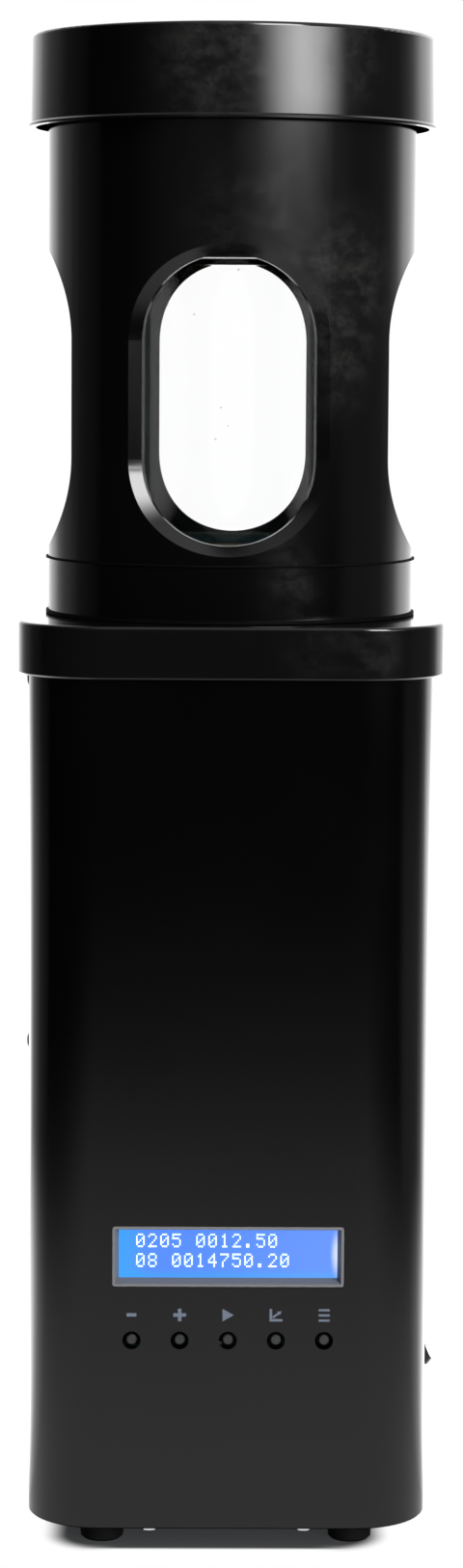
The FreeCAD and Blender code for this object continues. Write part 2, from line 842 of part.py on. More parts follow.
def lid():
    top_radius = lid_radius - lid_draft
    outside = Part.makeCone(lid_radius, top_radius, lid_height, vector(0, 0, lid_bottom), along_z)
    outside = outside.makeFillet(lid_top_round, edges_at_height(outside, lid_top))
    bead = cylinder(lid_radius + lid_bead, lid_bottom, lid_bottom + lid_bead_height)
    bead = bead.makeChamfer(lid_bead_edge, edges_at_height(bead, lid_bottom + lid_bead_height))
    inside = Part.makeCone(lid_radius - lid_wall, top_radius - lid_wall, lid_ceiling - lid_bottom,
                           vector(0, 0, lid_bottom), along_z)
    cap = outside.fuse(bead).cut(inside)
    return joined([cap] + ring_of(lid_rib(), lid_rib_count))


# ---- Heater --------------------------------------------------------------
def probe_hole():
    """Cutter for the probe, through the side of the heater tube."""
    start = vector(0, 0, heater_top - probe_drop)
    return Part.makeCylinder(probe_radius + close_fit, heater_radius + past, start, along_x)


def heater_tube():
    sleeve = tube(heater_radius, heater_inner, mid_plate_top, heater_top)
    flange = tube(heater_radius + heater_flange, heater_inner, mid_plate_top, mid_plate_top + heater_wall)
    return joined([sleeve, flange]).cut(probe_hole())


def heater_liner():
    """Mica sheet rolled inside the heater tube."""
    return tube(heater_inner - close_fit, liner_inner, mid_plate_top, heater_top).cut(probe_hole())


def coil_turns():
    """How many whole turns of wire fit on the former."""
    return int((former_top - former_bottom - 2 * coil_pitch) / coil_pitch)


def coil_start():
    return former_bottom + coil_pitch


def former_notches(angle):
    """Cutters for the wire on one half of a plate that stands at an angle, drawn along +X."""
    tall = coil_ribbon + 2 * close_fit
    inward = coil_radius - coil_thickness / 2 - close_fit
    crossings = coil_turns() + 1 if angle == 0 else coil_turns()
    notches = []
    for crossing in range(crossings):
        height = coil_start() + coil_pitch * (crossing + angle / 360.0)
        corner = vector(inward, -former_sheet / 2 - past, height - tall / 2)
        notches.append(Part.makeBox(liner_inner, former_sheet + 2 * past, tall, corner))
    return notches


def former_plate(angle, slot_bottom):
    """One of two crossed mica plates, notched where the wire passes, with a slot for the other."""
    tall = former_top - former_bottom
    plate = block(2 * (liner_inner - close_fit), former_sheet, tall, 0, 0, former_bottom)
    slot = block(former_sheet + close_fit, former_sheet + 2 * past, tall / 2 + past, 0, 0, slot_bottom)
    near = former_notches(angle)
    far = [turned(notch, 180) for notch in former_notches(angle + 180)]
    return turned(cut_all(plate, [slot] + near + far), angle)


def heater_former():
    middle = (former_bottom + former_top) / 2
    return [former_plate(0, former_bottom - past), former_plate(90, middle)]


def heater_coil():
    """Flat resistance wire wound as a helix round the former."""
    helix = Part.makeHelix(coil_pitch, coil_pitch * coil_turns(), coil_radius)
    helix.translate(vector(0, 0, coil_start()))
    inner = coil_radius - coil_thickness / 2
    outer = coil_radius + coil_thickness / 2
    low = coil_start() - coil_ribbon / 2
    high = coil_start() + coil_ribbon / 2
    profile = Part.makePolygon([vector(inner, 0, low), vector(outer, 0, low), vector(outer, 0, high),
                                vector(inner, 0, high), vector(inner, 0, low)])
    return Part.Wire(helix.Edges).makePipeShell([profile], True, True)


def temperature_probe():
    """A thin steel sheath that reaches through the heater tube into the air stream."""
    height = heater_top - probe_drop
    sheath = Part.makeCylinder(probe_radius, heater_radius + probe_hub, vector(probe_tip, 0, height), along_x)
    hub_start = vector(heater_radius + close_fit, 0, height)
    hub = Part.makeCylinder(2 * probe_radius, probe_hub, hub_start, along_x)
    return joined([sheath, hub])


def thermal_cutout():
    """A disc thermostat against the outside of the heater tube, with two blade tabs."""
    middle = (mid_plate_top + heater_top) / 2
    back = -heater_radius - close_fit
    cap_back = back - cutout_height
    disc = Part.makeCylinder(cutout_radius, cutout_height, vector(0, back, middle), along_y * -1)
    cap_radius = cutout_cap_radius * cutout_radius
    cap = Part.makeCylinder(cap_radius, cutout_cap, vector(0, cap_back, middle), along_y * -1)
    tabs = []
    for side in (-1, 1):
        tabs.append(block(terminal_sheet, 2 * cutout_cap, cutout_tab,
                          side * cutout_tab_place * cutout_radius, cap_back - cutout_cap,
                          middle - cutout_tab / 2))
    return joined([disc, cap] + tabs)


# ---- Blower --------------------------------------------------------------
def blower_upper():
    """The blower's outer wall and its roof, open to the heater."""
    inner = blower_radius - blower_wall
    return revolved([
        (blower_radius, blower_bottom + blower_wall),
        (blower_radius, blower_top),
        (blower_outlet, blower_top),
        (blower_outlet, blower_top - blower_wall),
        (inner, blower_top - blower_wall),
        (inner, blower_bottom + blower_wall),
    ])


def blower_lower():
    """The blower's floor with a flared eye that the air is drawn in through."""
    floor = revolved([
        (blower_eye, blower_bottom + blower_wall),
        (blower_eye, blower_bottom),
        (blower_radius, blower_bottom),
        (blower_radius, blower_bottom + blower_wall),
    ])
    return floor.makeChamfer(blower_flare, [
        edge for edge in edges_at_height(floor, blower_bottom) if edge.BoundBox.XMax < blower_eye + past])


def blade():
    """One backward-curved blade, a strip of constant thickness along an arc."""
    bottom = impeller_bottom + impeller_plate
    tall = impeller_height - 2 * impeller_plate

    def arc(offset):
        points = []
        for share in (0.0, 0.5, 1.0):
            radius = blade_inner + (impeller_radius - blade_inner) * share
            angle = math.radians(-blade_sweep * share)
            middle = vector(radius * math.cos(angle), radius * math.sin(angle), bottom)
            points.append(middle + vector(-math.sin(angle), math.cos(angle), 0) * offset)
        return Part.Arc(*points).toShape()

    near = arc(-blade_thickness / 2)
    far = arc(blade_thickness / 2)
    ends = [Part.makeLine(near.valueAt(near.FirstParameter), far.valueAt(far.FirstParameter)),
            Part.makeLine(near.valueAt(near.LastParameter), far.valueAt(far.LastParameter))]
    outline = Part.Wire(Part.__sortEdges__([near, far] + ends))
    return Part.Face(outline).extrude(along_z * tall)


def impeller():
    """Closed impeller: the eye faces down, and the back plate is fixed to the shaft."""
    upper = impeller_bottom + impeller_height
    shroud = tube(impeller_radius, blade_inner, impeller_bottom, impeller_bottom + impeller_plate)
    back = cylinder(impeller_radius, upper - impeller_plate, upper)
    hub = cylinder(impeller_hub, impeller_bottom, upper + impeller_hub_rise)
    bore = cylinder(shaft_radius + running_fit, impeller_bottom - past, upper + impeller_hub_rise + past)
    return joined([back, shroud, hub] + ring_of(blade(), blade_count)).cut(bore)


def motor_shaft():
    top = impeller_bottom + impeller_height + impeller_hub_rise + shaft_tail
    return cylinder(shaft_radius, motor_bottom - shaft_tail, top)


def bearing_levels():
    """The lower face of each motor bearing."""
    return (motor_bottom + motor_wall, motor_top - motor_wall - bearing_width)


def motor_bearings():
    return [tube(bearing_radius, shaft_radius + running_fit, level, level + bearing_width)
            for level in bearing_levels()]


def motor_can():
    """Drawn steel can with a bearing seat at each end."""
    seat = bearing_radius + close_fit
    seat_outer = seat + motor_wall
    inner = motor_radius - motor_wall
    hole = shaft_radius + slip_fit
    low = motor_bottom + motor_wall
    high = motor_top - motor_wall
    return revolved([
        (hole, motor_bottom),
        (motor_radius, motor_bottom),
        (motor_radius, motor_top),
        (hole, motor_top),
        (hole, high),
        (seat, high),
        (seat, high - bearing_width),
        (seat_outer, high - bearing_width),
        (seat_outer, high),
        (inner, high),
        (inner, low),
        (seat_outer, low),
        (seat_outer, low + bearing_width),
        (seat, low + bearing_width),
        (seat, low),
        (hole, low),
    ])


def rotor_core():
    low, high = bearing_levels()
    return tube(core_radius, shaft_radius + running_fit, low + bearing_width + core_gap, high - core_gap)


def motor_mount():
    """A three-armed plate on the motor, on posts that reach the blower's floor."""
    plate = tube(motor_radius, bearing_radius, motor_top, motor_top + mount_sheet)
    start = (bearing_radius + motor_radius) / 2
    arm = block(mount_reach - start, mount_arm, mount_sheet, (mount_reach + start) / 2, 0, motor_top)
    post = cylinder(mount_post, motor_top, blower_bottom, mount_reach, 0)
    return joined([plate] + ring_of(arm, mount_arms) + ring_of(post, mount_arms))


# ---- Display and buttons -------------------------------------------------
def opening_wire(width, tall, y):
    """A rectangle across the display opening, as a wire."""
    left = -width / 2
    low = display_height - tall / 2
    high = low + tall
    return Part.makePolygon([vector(left, y, low), vector(-left, y, low), vector(-left, y, high),
                             vector(left, y, high), vector(left, y, low)])


def display_bezel():
    """A frame in the display opening whose inner faces slope in to the panel."""
    outer = wall_panel(display_width - 2 * close_fit, display_tall - 2 * close_fit, bezel_depth,
                       display_corner - close_fit, -half_body, display_height)
    front = opening_wire(display_width - 2 * bezel_front, display_tall - 2 * bezel_front, -half_body)
    back = opening_wire(display_width - 2 * bezel_back, display_tall - 2 * bezel_back, panel_front)
    return outer.cut(Part.makeLoft([front, back], True, True))


def panel_block(width, tall, depth, margin):
    """A block behind the bezel, in line with the display, grown by a margin in width and height."""
    corner = vector(-width / 2 - margin, panel_front, display_height - tall / 2 - margin)
    return Part.makeBox(width + 2 * margin, depth, tall + 2 * margin, corner)


def display_panel():
    """The glass of the character display."""
    return panel_block(panel_width, panel_tall, panel_sheet, 0)


def display_frame():
    """The sheet-metal frame that clamps the display glass to its board."""
    frame = panel_block(frame_width, frame_tall, frame_depth, 0)
    return frame.cut(panel_block(panel_width, panel_tall, panel_sheet, close_fit))


def display_board():
    """The display's own board, with the pin header that joins it to the control board."""
    low = display_height - module_tall / 2
    board = Part.makeBox(module_width, board_sheet, module_tall, vector(-module_width / 2, frame_back, low))
    corner = vector(-module_width / 2 + header_inset, module_back, low + module_tall - header_inset)
    header = Part.makeBox(module_width / 2, board_gap, header_tall, corner)
    return joined([board, header])


def stud_places(bottom, top):
    """Where a board between two heights is fixed, as (x, z)."""
    inset = stud_radius + stud_edge
    return [(side * stud_spread / 2, z) for side in (-1, 1) for z in (bottom + inset, top - inset)]


def board_blank(width, front, bottom, top):
    """A board with a hole for each of its four studs."""
    board = Part.makeBox(width, board_sheet, top - bottom, vector(-width / 2, front, bottom))
    holes = []
    for x, z in stud_places(bottom, top):
        start = vector(x, front - past, z)
        holes.append(Part.makeCylinder(stud_bore + screw_play, board_sheet + 2 * past, start, along_y))
    return cut_all(board, holes)


def control_board():
    return board_blank(control_width, control_front, control_bottom, control_top)


def stud(x, y, z, length, direction):
    """A pillar from y, with a thread that passes through a board and its nut."""
    pillar = Part.makeCylinder(stud_radius, length, vector(x, y, z), direction)
    thread_length = board_sheet + nut_height + stud_end
    thread = Part.makeCylinder(stud_bore, thread_length, vector(x, y, z) + direction * length, direction)
    return joined([pillar, thread])


def board_studs():
    """Threaded studs welded inside the front of the sleeve and inside its back."""
    front = [stud(x, front_inner, z, control_front - front_inner, along_y)
             for x, z in stud_places(control_bottom, control_top)]
    rear = [stud(x, inner_half, z, power_stud, along_y * -1)
            for x, z in stud_places(power_bottom, power_bottom + power_tall)]
    return front + rear


def hexagon_nut(x, y, z):
    """A nut whose bore runs along Y from y to y plus its height."""
    corners = []
    for corner in range(7):
        angle = math.radians(60 * corner)
        corners.append(vector(x + nut_radius * math.cos(angle), y, z + nut_radius * math.sin(angle)))
    nut = Part.Face(Part.makePolygon(corners)).extrude(along_y * nut_height)
    return nut.cut(Part.makeCylinder(stud_bore + running_fit, nut_height, vector(x, y, z), along_y))


def board_nuts():
    front = [hexagon_nut(x, control_back, z) for x, z in stud_places(control_bottom, control_top)]
    rear = [hexagon_nut(x, power_front - nut_height, z)
            for x, z in stud_places(power_bottom, power_bottom + power_tall)]
    return front + rear


def button_switches():
    """The bodies of the five push switches on the control board."""
    lid_front = control_front - switch_depth
    collar_room = switch_play + button_collar_sheet + button_travel + switch_play
    switches = []
    for x in button_positions():
        corner = vector(x - switch_width / 2, lid_front, button_height - switch_width / 2)
        body = Part.makeBox(switch_width, switch_depth, switch_width, corner)
        throat = Part.makeCylinder(button_stem + close_fit, switch_lid + past,
                                   vector(x, lid_front - past, button_height), along_y)
        chamber = Part.makeCylinder(button_collar + close_fit, collar_room,
                                    vector(x, lid_front + switch_lid, button_height), along_y)
        switches.append(body.cut(throat).cut(chamber))
    return switches


def button(x):
    """A stem that ends just inside the face of the sleeve, with a collar held in its switch."""
    tip = -half_body + button_sink
    shoulder = control_front - switch_depth + switch_lid + switch_play
    stem = Part.makeCylinder(button_stem, shoulder - tip, vector(x, tip, button_height), along_y)
    front_edges = [edge for edge in stem.Edges if abs(edge.BoundBox.YMax - tip) < 1e-4]
    stem = stem.makeChamfer(button_edge, front_edges)
    collar_start = vector(x, shoulder, button_height)
    collar = Part.makeCylinder(button_collar, button_collar_sheet, collar_start, along_y)
    return joined([stem, collar])


# ---- Power electronics ---------------------------------------------------
def power_board():
    return board_blank(power_width, power_front, power_bottom, power_bottom + power_tall)


def on_power_board(width, deep, tall, left, bottom):
    """A block that stands on the inner side of the power board."""
    return Part.makeBox(width, deep, tall, vector(left, power_front - deep, bottom))


def board_parts():
    """Transformer, relay and capacitor, standing on the inner side of the power board."""
    middle = power_bottom + power_tall / 2
    transformer = on_power_board(transformer_size, transformer_deep, transformer_tall,
                                 transformer_place - transformer_size / 2, middle - transformer_tall / 2)
    relay = on_power_board(relay_width, relay_deep, relay_tall,
                           relay_place - relay_width / 2, middle - relay_tall - part_spacing)
    capacitor_middle = vector(relay_place, power_front, middle + capacitor_radius + part_spacing)
    capacitor = Part.makeCylinder(capacitor_radius, capacitor_length, capacitor_middle, along_y * -1)
    return [transformer, relay, capacitor]


def heatsink():
    """A finned extrusion that cools the heater's triac."""
    low = power_bottom + power_tall / 2 - sink_tall / 2
    base = on_power_board(sink_width, sink_base, sink_tall, sink_left, low)
    step = (sink_width - sink_fin) / (sink_fins - 1)
    fins = [on_power_board(sink_fin, sink_deep, sink_tall, sink_left + step * index, low)
            for index in range(sink_fins)]
    return joined([base] + fins)


# ---- Mains inlet and power switch ----------------------------------------
def mains_inlet():
    """A recessed three-pin appliance inlet, flush against the back of the sleeve."""
    flange = wall_panel(inlet_width + 2 * inlet_flange, inlet_tall + 2 * inlet_flange, inlet_flange_sheet,
                        inlet_flange_corner, half_body, inlet_height)
    front = half_body - inlet_depth
    barrel = wall_panel(inlet_width - 2 * close_fit, inlet_tall - 2 * close_fit, inlet_depth,
                        inlet_corner, front, inlet_height)
    mouth_front = half_body + inlet_flange_sheet - inlet_mouth_depth
    mouth = Part.makeBox(inlet_mouth_width, inlet_mouth_depth + past, inlet_mouth_tall,
                         vector(-inlet_mouth_width / 2, mouth_front, inlet_height - inlet_mouth_tall / 2))
    upper = [edge for edge in edges_along(mouth, along_y) if edge.CenterOfMass.z > inlet_height]
    mouth = mouth.makeChamfer(inlet_chamfer, upper)
    return cut_all(joined([flange, barrel]).cut(mouth), [pin_hole(x, z) for x, z in pin_centres()])


def pin_centres():
    """The three pins, as (x, z); the middle one is the earth."""
    return [(-pin_spacing, inlet_height - pin_rise), (0, inlet_height + pin_rise),
            (pin_spacing, inlet_height - pin_rise)]


def pin_bar(x, z, margin, front, back):
    return Part.makeBox(pin_width + 2 * margin, back - front, pin_tall + 2 * margin,
                        vector(x - pin_width / 2 - margin, front, z - pin_tall / 2 - margin))


def pin_hole(x, z):
    return pin_bar(x, z, pin_play, half_body - inlet_depth - past, half_body)


def inlet_pins():
    back = half_body + inlet_flange_sheet - pin_recess
    return [pin_bar(x, z, 0, half_body - inlet_depth - pin_tail, back) for x, z in pin_centres()]


def rocker_axis():
    """The rocker turns about a line along Y through this point."""
    return vector(half_body + rocker_flange_sheet - rocker_pivot_depth, 0, rocker_height)


def rocker_housing():
    """The switch body, snapped into the side of the sleeve, with the rocker's pocket."""
    axis = rocker_axis()
    flange_tall = rocker_cutout_tall + 2 * rocker_flange
    flange_wide = rocker_cutout_width + 2 * rocker_flange
    flange = block(rocker_flange_sheet, flange_wide, flange_tall, half_body + rocker_flange_sheet / 2, 0,
                   rocker_height - flange_tall / 2)
    flange = flange.makeFillet(rocker_flange_corner, edges_along(flange, along_x))
    barrel = block(rocker_body_depth, rocker_barrel_width, rocker_barrel_tall,
                   half_body - rocker_body_depth / 2, 0, rocker_height - rocker_barrel_tall / 2)
    half_pocket = rocker_side + rocker_gap
    pocket = Part.makeCylinder(rocker_reach, 2 * half_pocket, axis - along_y * half_pocket, along_y)
    half_pin = half_pocket + rocker_pin_seat + rocker_pin_play
    bore = Part.makeCylinder(rocker_pin + running_fit, 2 * half_pin, axis - along_y * half_pin, along_y)
    terminals = [block(terminal_length, terminal_width, terminal_sheet,
                       half_body - rocker_body_depth - terminal_length / 2, 0, rocker_height + rise)
                 for rise in (-terminal_pitch, 0, terminal_pitch)]
    return joined([joined([flange, barrel]).cut(pocket).cut(bore)] + terminals)


def rocker_outline(x, half_length, half_width):
    """An upright outline with half-round ends, across the X axis and centred on the rocker."""
    middle = rocker_axis().z
    straight = half_length - half_width
    corners = [vector(x, half_width, middle - straight), vector(x, half_width, middle + straight),
               vector(x, -half_width, middle + straight), vector(x, -half_width, middle - straight)]
    upper = Part.Arc(corners[1], vector(x, 0, middle + half_length), corners[2])
    lower = Part.Arc(corners[3], vector(x, 0, middle - half_length), corners[0])
    return Part.Wire([Part.makeLine(corners[0], corners[1]), upper.toShape(),
                      Part.makeLine(corners[2], corners[3]), lower.toShape()])


def power_rocker():
    """A rocker with half-round ends and a hollowed face, standing with its lower end out."""
    axis = rocker_axis()
    tip = axis.x + rocker_tip
    rim = tip - rocker_bevel
    back = axis.x - rocker_depth / 2
    rim_outline = rocker_outline(rim, rocker_half, rocker_side)
    crown = Part.makeLoft([rocker_outline(tip, rocker_length / 2, rocker_width / 2), rim_outline], True, True)
    skirt = Part.Face(rim_outline).extrude(along_x * (back - rim))
    hollow = ((rocker_length / 2) ** 2 + rocker_rise ** 2) / (2 * rocker_rise)
    hollow_start = vector(axis.x + rocker_pivot_depth + hollow, -rocker_width, axis.z)
    paddle = joined([crown, skirt]).cut(Part.makeCylinder(hollow, 2 * rocker_width, hollow_start, along_y))
    half_pin = rocker_side + rocker_gap + rocker_pin_seat
    pin = Part.makeCylinder(rocker_pin, 2 * half_pin, axis - along_y * half_pin, along_y)
    whole = joined([paddle, pin])
    whole.rotate(axis, along_y, -rocker_tilt)
    return whole


# ---- The parts -----------------------------------------------------------
def side_screws():
    return [side_screw(side, height) for side in (-1, 1)
            for height in (lower_screw_height, upper_screw_height)]


def all_parts():
    boss_pitch = body_width - 2 * boss_inset
    screw_rows = body_width - 2 * base_screw_inset
    names = ("button_minus", "button_plus", "button_start", "button_graph", "button_menu")
    parts = {
        "body_shell": body_shell(),
        "base_plate": base_plate(),
        "rubber_feet": four_corners(rubber_foot, foot_pitch, foot_pitch),
        "foot_screws": four_corners(foot_screw, foot_pitch, foot_pitch),
        "base_screws": four_corners(base_screw, base_screw_pitch, screw_rows),
        "side_screws": side_screws(),
        "top_collar": top_collar(),
        "upper_plate": upper_plate(),
        "collar_screws": four_corners(collar_screw, boss_pitch, boss_pitch),
        "mid_plate": mid_plate(),
        "chamber_seal": chamber_seal(),
        "chamber_ring": chamber_ring(),
        "chamber_cup": chamber_cup(),
        "air_plate": air_plate(),
        "socket_ring": socket_ring(),
        "collector_body": collector_body(),
        "collector_seal": collector_seal(),
        "glass_seal": glass_seal(),
        "glass_chimney": glass_chimney(),
        "chaff_tray": chaff_tray(),
        "chaff_screen": chaff_screen(),
        "lid": lid(),
        "heater_tube": heater_tube(),
        "heater_liner": heater_liner(),
        "heater_former": heater_former(),
        "heater_coil": heater_coil(),
        "temperature_probe": temperature_probe(),
        "thermal_cutout": thermal_cutout(),
        "blower_upper": blower_upper(),
        "blower_lower": blower_lower(),
        "impeller": impeller(),
        "motor_shaft": motor_shaft(),
        "motor_bearings": motor_bearings(),
        "motor_can": motor_can(),
        "rotor_core": rotor_core(),
        "motor_mount": motor_mount(),
        "display_bezel": display_bezel(),
        "display_panel": display_panel(),
        "display_frame": display_frame(),
        "display_board": display_board(),
        "control_board": control_board(),
        "board_studs": board_studs(),
        "board_nuts": board_nuts(),
        "button_switches": button_switches(),
        "power_board": power_board(),
        "board_parts": board_parts(),
        "heatsink": heatsink(),
        "mains_inlet": mains_inlet(),
        "inlet_pins": inlet_pins(),
        "rocker_housing": rocker_housing(),
        "power_rocker": power_rocker(),
    }
    for name, x in zip(names, button_positions()):
        parts[name] = button(x)
    return parts


def write_parts():
    os.makedirs("parts", exist_ok=True)
    for name, shape in all_parts().items():
        if isinstance(shape, list):
            shape = Part.makeCompound(shape)
        shape.exportStep("parts/" + name + ".step")


write_parts()
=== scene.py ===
"""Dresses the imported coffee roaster: finishes, printed marks, display figures and a studio."""
import math

import bmesh
import bpy
from bpy.props import FloatProperty, FloatVectorProperty, PointerProperty, StringProperty
from mathutils import Matrix, Vector


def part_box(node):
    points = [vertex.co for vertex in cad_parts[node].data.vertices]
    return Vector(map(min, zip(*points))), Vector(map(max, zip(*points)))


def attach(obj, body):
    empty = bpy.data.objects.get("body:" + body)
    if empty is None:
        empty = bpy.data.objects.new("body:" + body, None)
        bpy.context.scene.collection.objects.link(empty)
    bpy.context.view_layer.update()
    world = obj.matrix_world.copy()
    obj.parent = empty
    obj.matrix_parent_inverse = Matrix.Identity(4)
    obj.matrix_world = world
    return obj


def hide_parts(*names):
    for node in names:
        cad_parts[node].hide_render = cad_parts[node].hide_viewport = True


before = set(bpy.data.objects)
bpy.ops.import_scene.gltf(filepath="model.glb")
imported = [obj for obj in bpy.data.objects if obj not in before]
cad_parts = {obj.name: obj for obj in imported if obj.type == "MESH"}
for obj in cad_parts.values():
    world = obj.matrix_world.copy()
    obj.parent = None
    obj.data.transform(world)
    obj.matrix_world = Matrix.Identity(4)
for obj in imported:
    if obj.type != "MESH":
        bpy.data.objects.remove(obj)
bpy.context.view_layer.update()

bl_info = {
    "name": "Coffee Roaster Dressing",
    "version": (1, 0, 0),
    "blender": (4, 5, 0),
    "location": "3D View > Sidebar > Roaster",
    "description": "Finishes, printed marks, display figures and a studio for the packed roaster",
    "category": "Object",
}


# ---- Shader maths ---------------------------------------------------------
class Signal:
    """A shader socket that takes part in arithmetic."""

    def __init__(self, recipe, socket):
        self.recipe = recipe
        self.socket = socket

    def _math(self, operation, first, second):
        return self.recipe.add("ShaderNodeMath", {"operation": operation}, {0: first, 1: second})

    def __add__(self, other):
        return self._math("ADD", self, other)

    __radd__ = __add__

    def __sub__(self, other):
        return self._math("SUBTRACT", self, other)

    def __rsub__(self, other):
        return self._math("SUBTRACT", other, self)

    def __mul__(self, other):
        return self._math("MULTIPLY", self, other)

    __rmul__ = __mul__

    def __truediv__(self, other):
        return self._math("DIVIDE", self, other)

    def __pow__(self, other):
        return self._math("POWER", self, other)

    def __abs__(self):
        return self.recipe.add("ShaderNodeMath", {"operation": "ABSOLUTE"}, {0: self})

    def most(self, other):
        return self._math("MAXIMUM", self, other)

    def least(self, other):
        return self._math("MINIMUM", self, other)

    def root(self):
        return self.recipe.add("ShaderNodeMath", {"operation": "SQRT"}, {0: self})

    def rise(self, start, end, low=0.0, high=1.0):
        """Goes smoothly from low to high while this goes from start to end."""
        return self.recipe.add("ShaderNodeMapRange", {"interpolation_type": "SMOOTHSTEP"},
                               {"Value": self, "From Min": start, "From Max": end, "To Min": low, "To Max": high})


class Recipe:
    """A node tree. Its add method makes every node."""

    def __init__(self, tree):
        self.tree = tree
        self.tree.nodes.clear()

    def add(self, kind, settings=None, sockets=None, output=0):
        node = self.tree.nodes.new(kind)
        for name, value in (settings or {}).items():
            if name == "stops":
                self._fill_ramp(node.color_ramp, value)
            else:
                setattr(node, name, value)
        for name, value in (sockets or {}).items():
            if isinstance(value, Signal):
                self.tree.links.new(value.socket, node.inputs[name])
            else:
                node.inputs[name].default_value = value
        return Signal(self, node.outputs[output]) if node.outputs else None

    @staticmethod
    def _fill_ramp(ramp, stops):
        while len(ramp.elements) > 1:
            ramp.elements.remove(ramp.elements[-1])
        ramp.elements[0].position, ramp.elements[0].color = stops[0][0], grey(stops[0][1])
        for place, level in stops[1:]:
            ramp.elements.new(place).color = grey(level)

    def place(self):
        """The point on the piece, in metres."""
        return self.add("ShaderNodeTexCoord", {}, {}, "Object")

    def split(self, vector):
        node = self.add("ShaderNodeSeparateXYZ", {}, {0: vector}).socket.node
        return [Signal(self, output) for output in node.outputs]

    def stretched(self, vector, scale):
        return self.add("ShaderNodeVectorMath", {"operation": "MULTIPLY"}, {0: vector, 1: scale})

    def noise(self, vector, size, detail=2.0, rough=0.5):
        """Soft irregular variation, with features of about a size in metres."""
        return self.add("ShaderNodeTexNoise", {},
                        {"Vector": vector, "Scale": 1 / size, "Detail": detail, "Roughness": rough})

    def cells(self, vector, size, feature="F1"):
        return self.add("ShaderNodeTexVoronoi", {"feature": feature}, {"Vector": vector, "Scale": 1 / size})

    def ramp(self, signal, stops):
        return self.add("ShaderNodeValToRGB", {"stops": stops}, {0: signal})

    def blend(self, share, first, second):
        """A colour that goes from first to second."""
        return self.add("ShaderNodeMix", {"data_type": "RGBA"}, {0: share, 6: colour(first), 7: colour(second)}, 2)

    def bump(self, height, depth):
        return self.add("ShaderNodeBump", {}, {"Height": height, "Distance": depth})


class Finish(Recipe):
    """A material with a principled surface."""

    def __init__(self, name):
        self.material = bpy.data.materials.new(name)
        self.material.use_nodes = True
        super().__init__(self.material.node_tree)

    def shader(self, sockets):
        return self.add("ShaderNodeBsdfPrincipled", {}, sockets)

    def done(self, shader):
        self.add("ShaderNodeOutputMaterial", {}, {"Surface": shader})
        return self.material

    def surface(self, sockets):
        return self.done(self.shader(sockets))


def grey(level):
    return (level, level, level, 1.0)


def colour(value):
    if isinstance(value, Signal):
        return value
    return (*value, 1.0) if len(value) == 3 else tuple(value)


def shade(rgb, factor):
    return tuple(channel * factor for channel in rgb)


# ---- Finishes ---------------------------------------------------------------
RIPPLE = 0.000006  # depth of the ripple in paint and glossy mouldings
DUST = (0.034, 0.033, 0.0315)
DUST_COVER = 0.32
# Each smudge: x, y and z of its middle, its size and its strength.
SMUDGES = [
    (-0.006, -0.062, 0.442, 0.024, 1.70),
    (0.036, -0.052, 0.441, 0.016, 1.10),
    (0.004, -0.056, 0.392, 0.026, 0.60),
    (0.034, -0.045, 0.375, 0.024, 1.80),
    (0.031, -0.047, 0.351, 0.016, 0.80),
    (0.016, -0.054, 0.302, 0.014, 0.40),
    (0.016, -0.054, 0.290, 0.012, 0.45),
    (0.023, -0.052, 0.288, 0.010, 0.40),
    (0.025, -0.061, 0.274, 0.016, 0.50),
    (0.042, -0.061, 0.271, 0.013, 0.80),
]
SCREENED_SIDE = (0.0252, 0.0268)  # from here outwards the tube's wall stands behind the chimney's edge, and the glass there is painted with shade
SCREENED_FOOT = (0.3008, 0.2995)  # from here down the chaff tray stands behind it, and the glass there is painted with shade


def powder_coat(name, base):
    """Satin powder coat with a fine orange peel and slight cloudiness."""
    finish = Finish(name)
    place = finish.place()
    cloud = finish.noise(place, 0.05, 3)
    peel = finish.noise(place, 0.0007, 1)
    return finish.surface({
        "Base Color": finish.blend(cloud.rise(0.35, 0.7), base, shade(base, 1.5)),
        "Roughness": 0.095 + 0.03 * cloud,
        "Normal": finish.bump(peel, RIPPLE),
    })


def dusty_film(finish, place, smudges):
    """How much dust lies on each point: soft spots, broken up by wiping and by a fine haze."""
    x, y, z = finish.split(place)
    wipe = finish.noise(finish.stretched(place, (1.0, 1.0, 1.5)), 0.008, 4, 0.62).rise(0.34, 0.7)
    haze = finish.noise(place, 0.0012, 3, 0.7).rise(0.3, 0.75)
    film = 0.0
    for spot_x, spot_y, spot_z, size, strength in smudges:
        far = ((x - spot_x) ** 2 + (y - spot_y) ** 2 + ((z - spot_z) * 0.75) ** 2 + 1e-9).root()
        film = film + far.rise(size, size * 0.15) * strength
    return film * (0.15 + 0.85 * wipe) * (0.4 + 0.6 * haze) * DUST_COVER


def moulded_plastic(name, base, roughness, smudges=()):
    """Semi-gloss moulding with flow marks, and with dusty smudges where they are given."""
    finish = Finish(name)
    place = finish.place()
    flow = finish.noise(finish.stretched(place, (1.0, 1.0, 0.2)), 0.004, 3)
    film = dusty_film(finish, place, smudges) if smudges else 0.0
    return finish.surface({
        "Base Color": finish.blend(film, base, DUST),
        "Roughness": roughness + 0.03 * flow + 0.2 * film,
        "Normal": finish.bump(flow, RIPPLE),
    })


def plain_plastic(name, base, roughness=0.45, grain=0.0006):
    """Grained plastic of a hidden moulding."""
    finish = Finish(name)
    place = finish.place()
    tone = finish.noise(place, 0.02, 3)
    texture = finish.noise(place, grain, 2)
    return finish.surface({
        "Base Color": finish.blend(tone, shade(base, 0.8), shade(base, 1.25)),
        "Roughness": roughness + 0.1 * texture,
        "Normal": finish.bump(texture, 0.00003),
    })


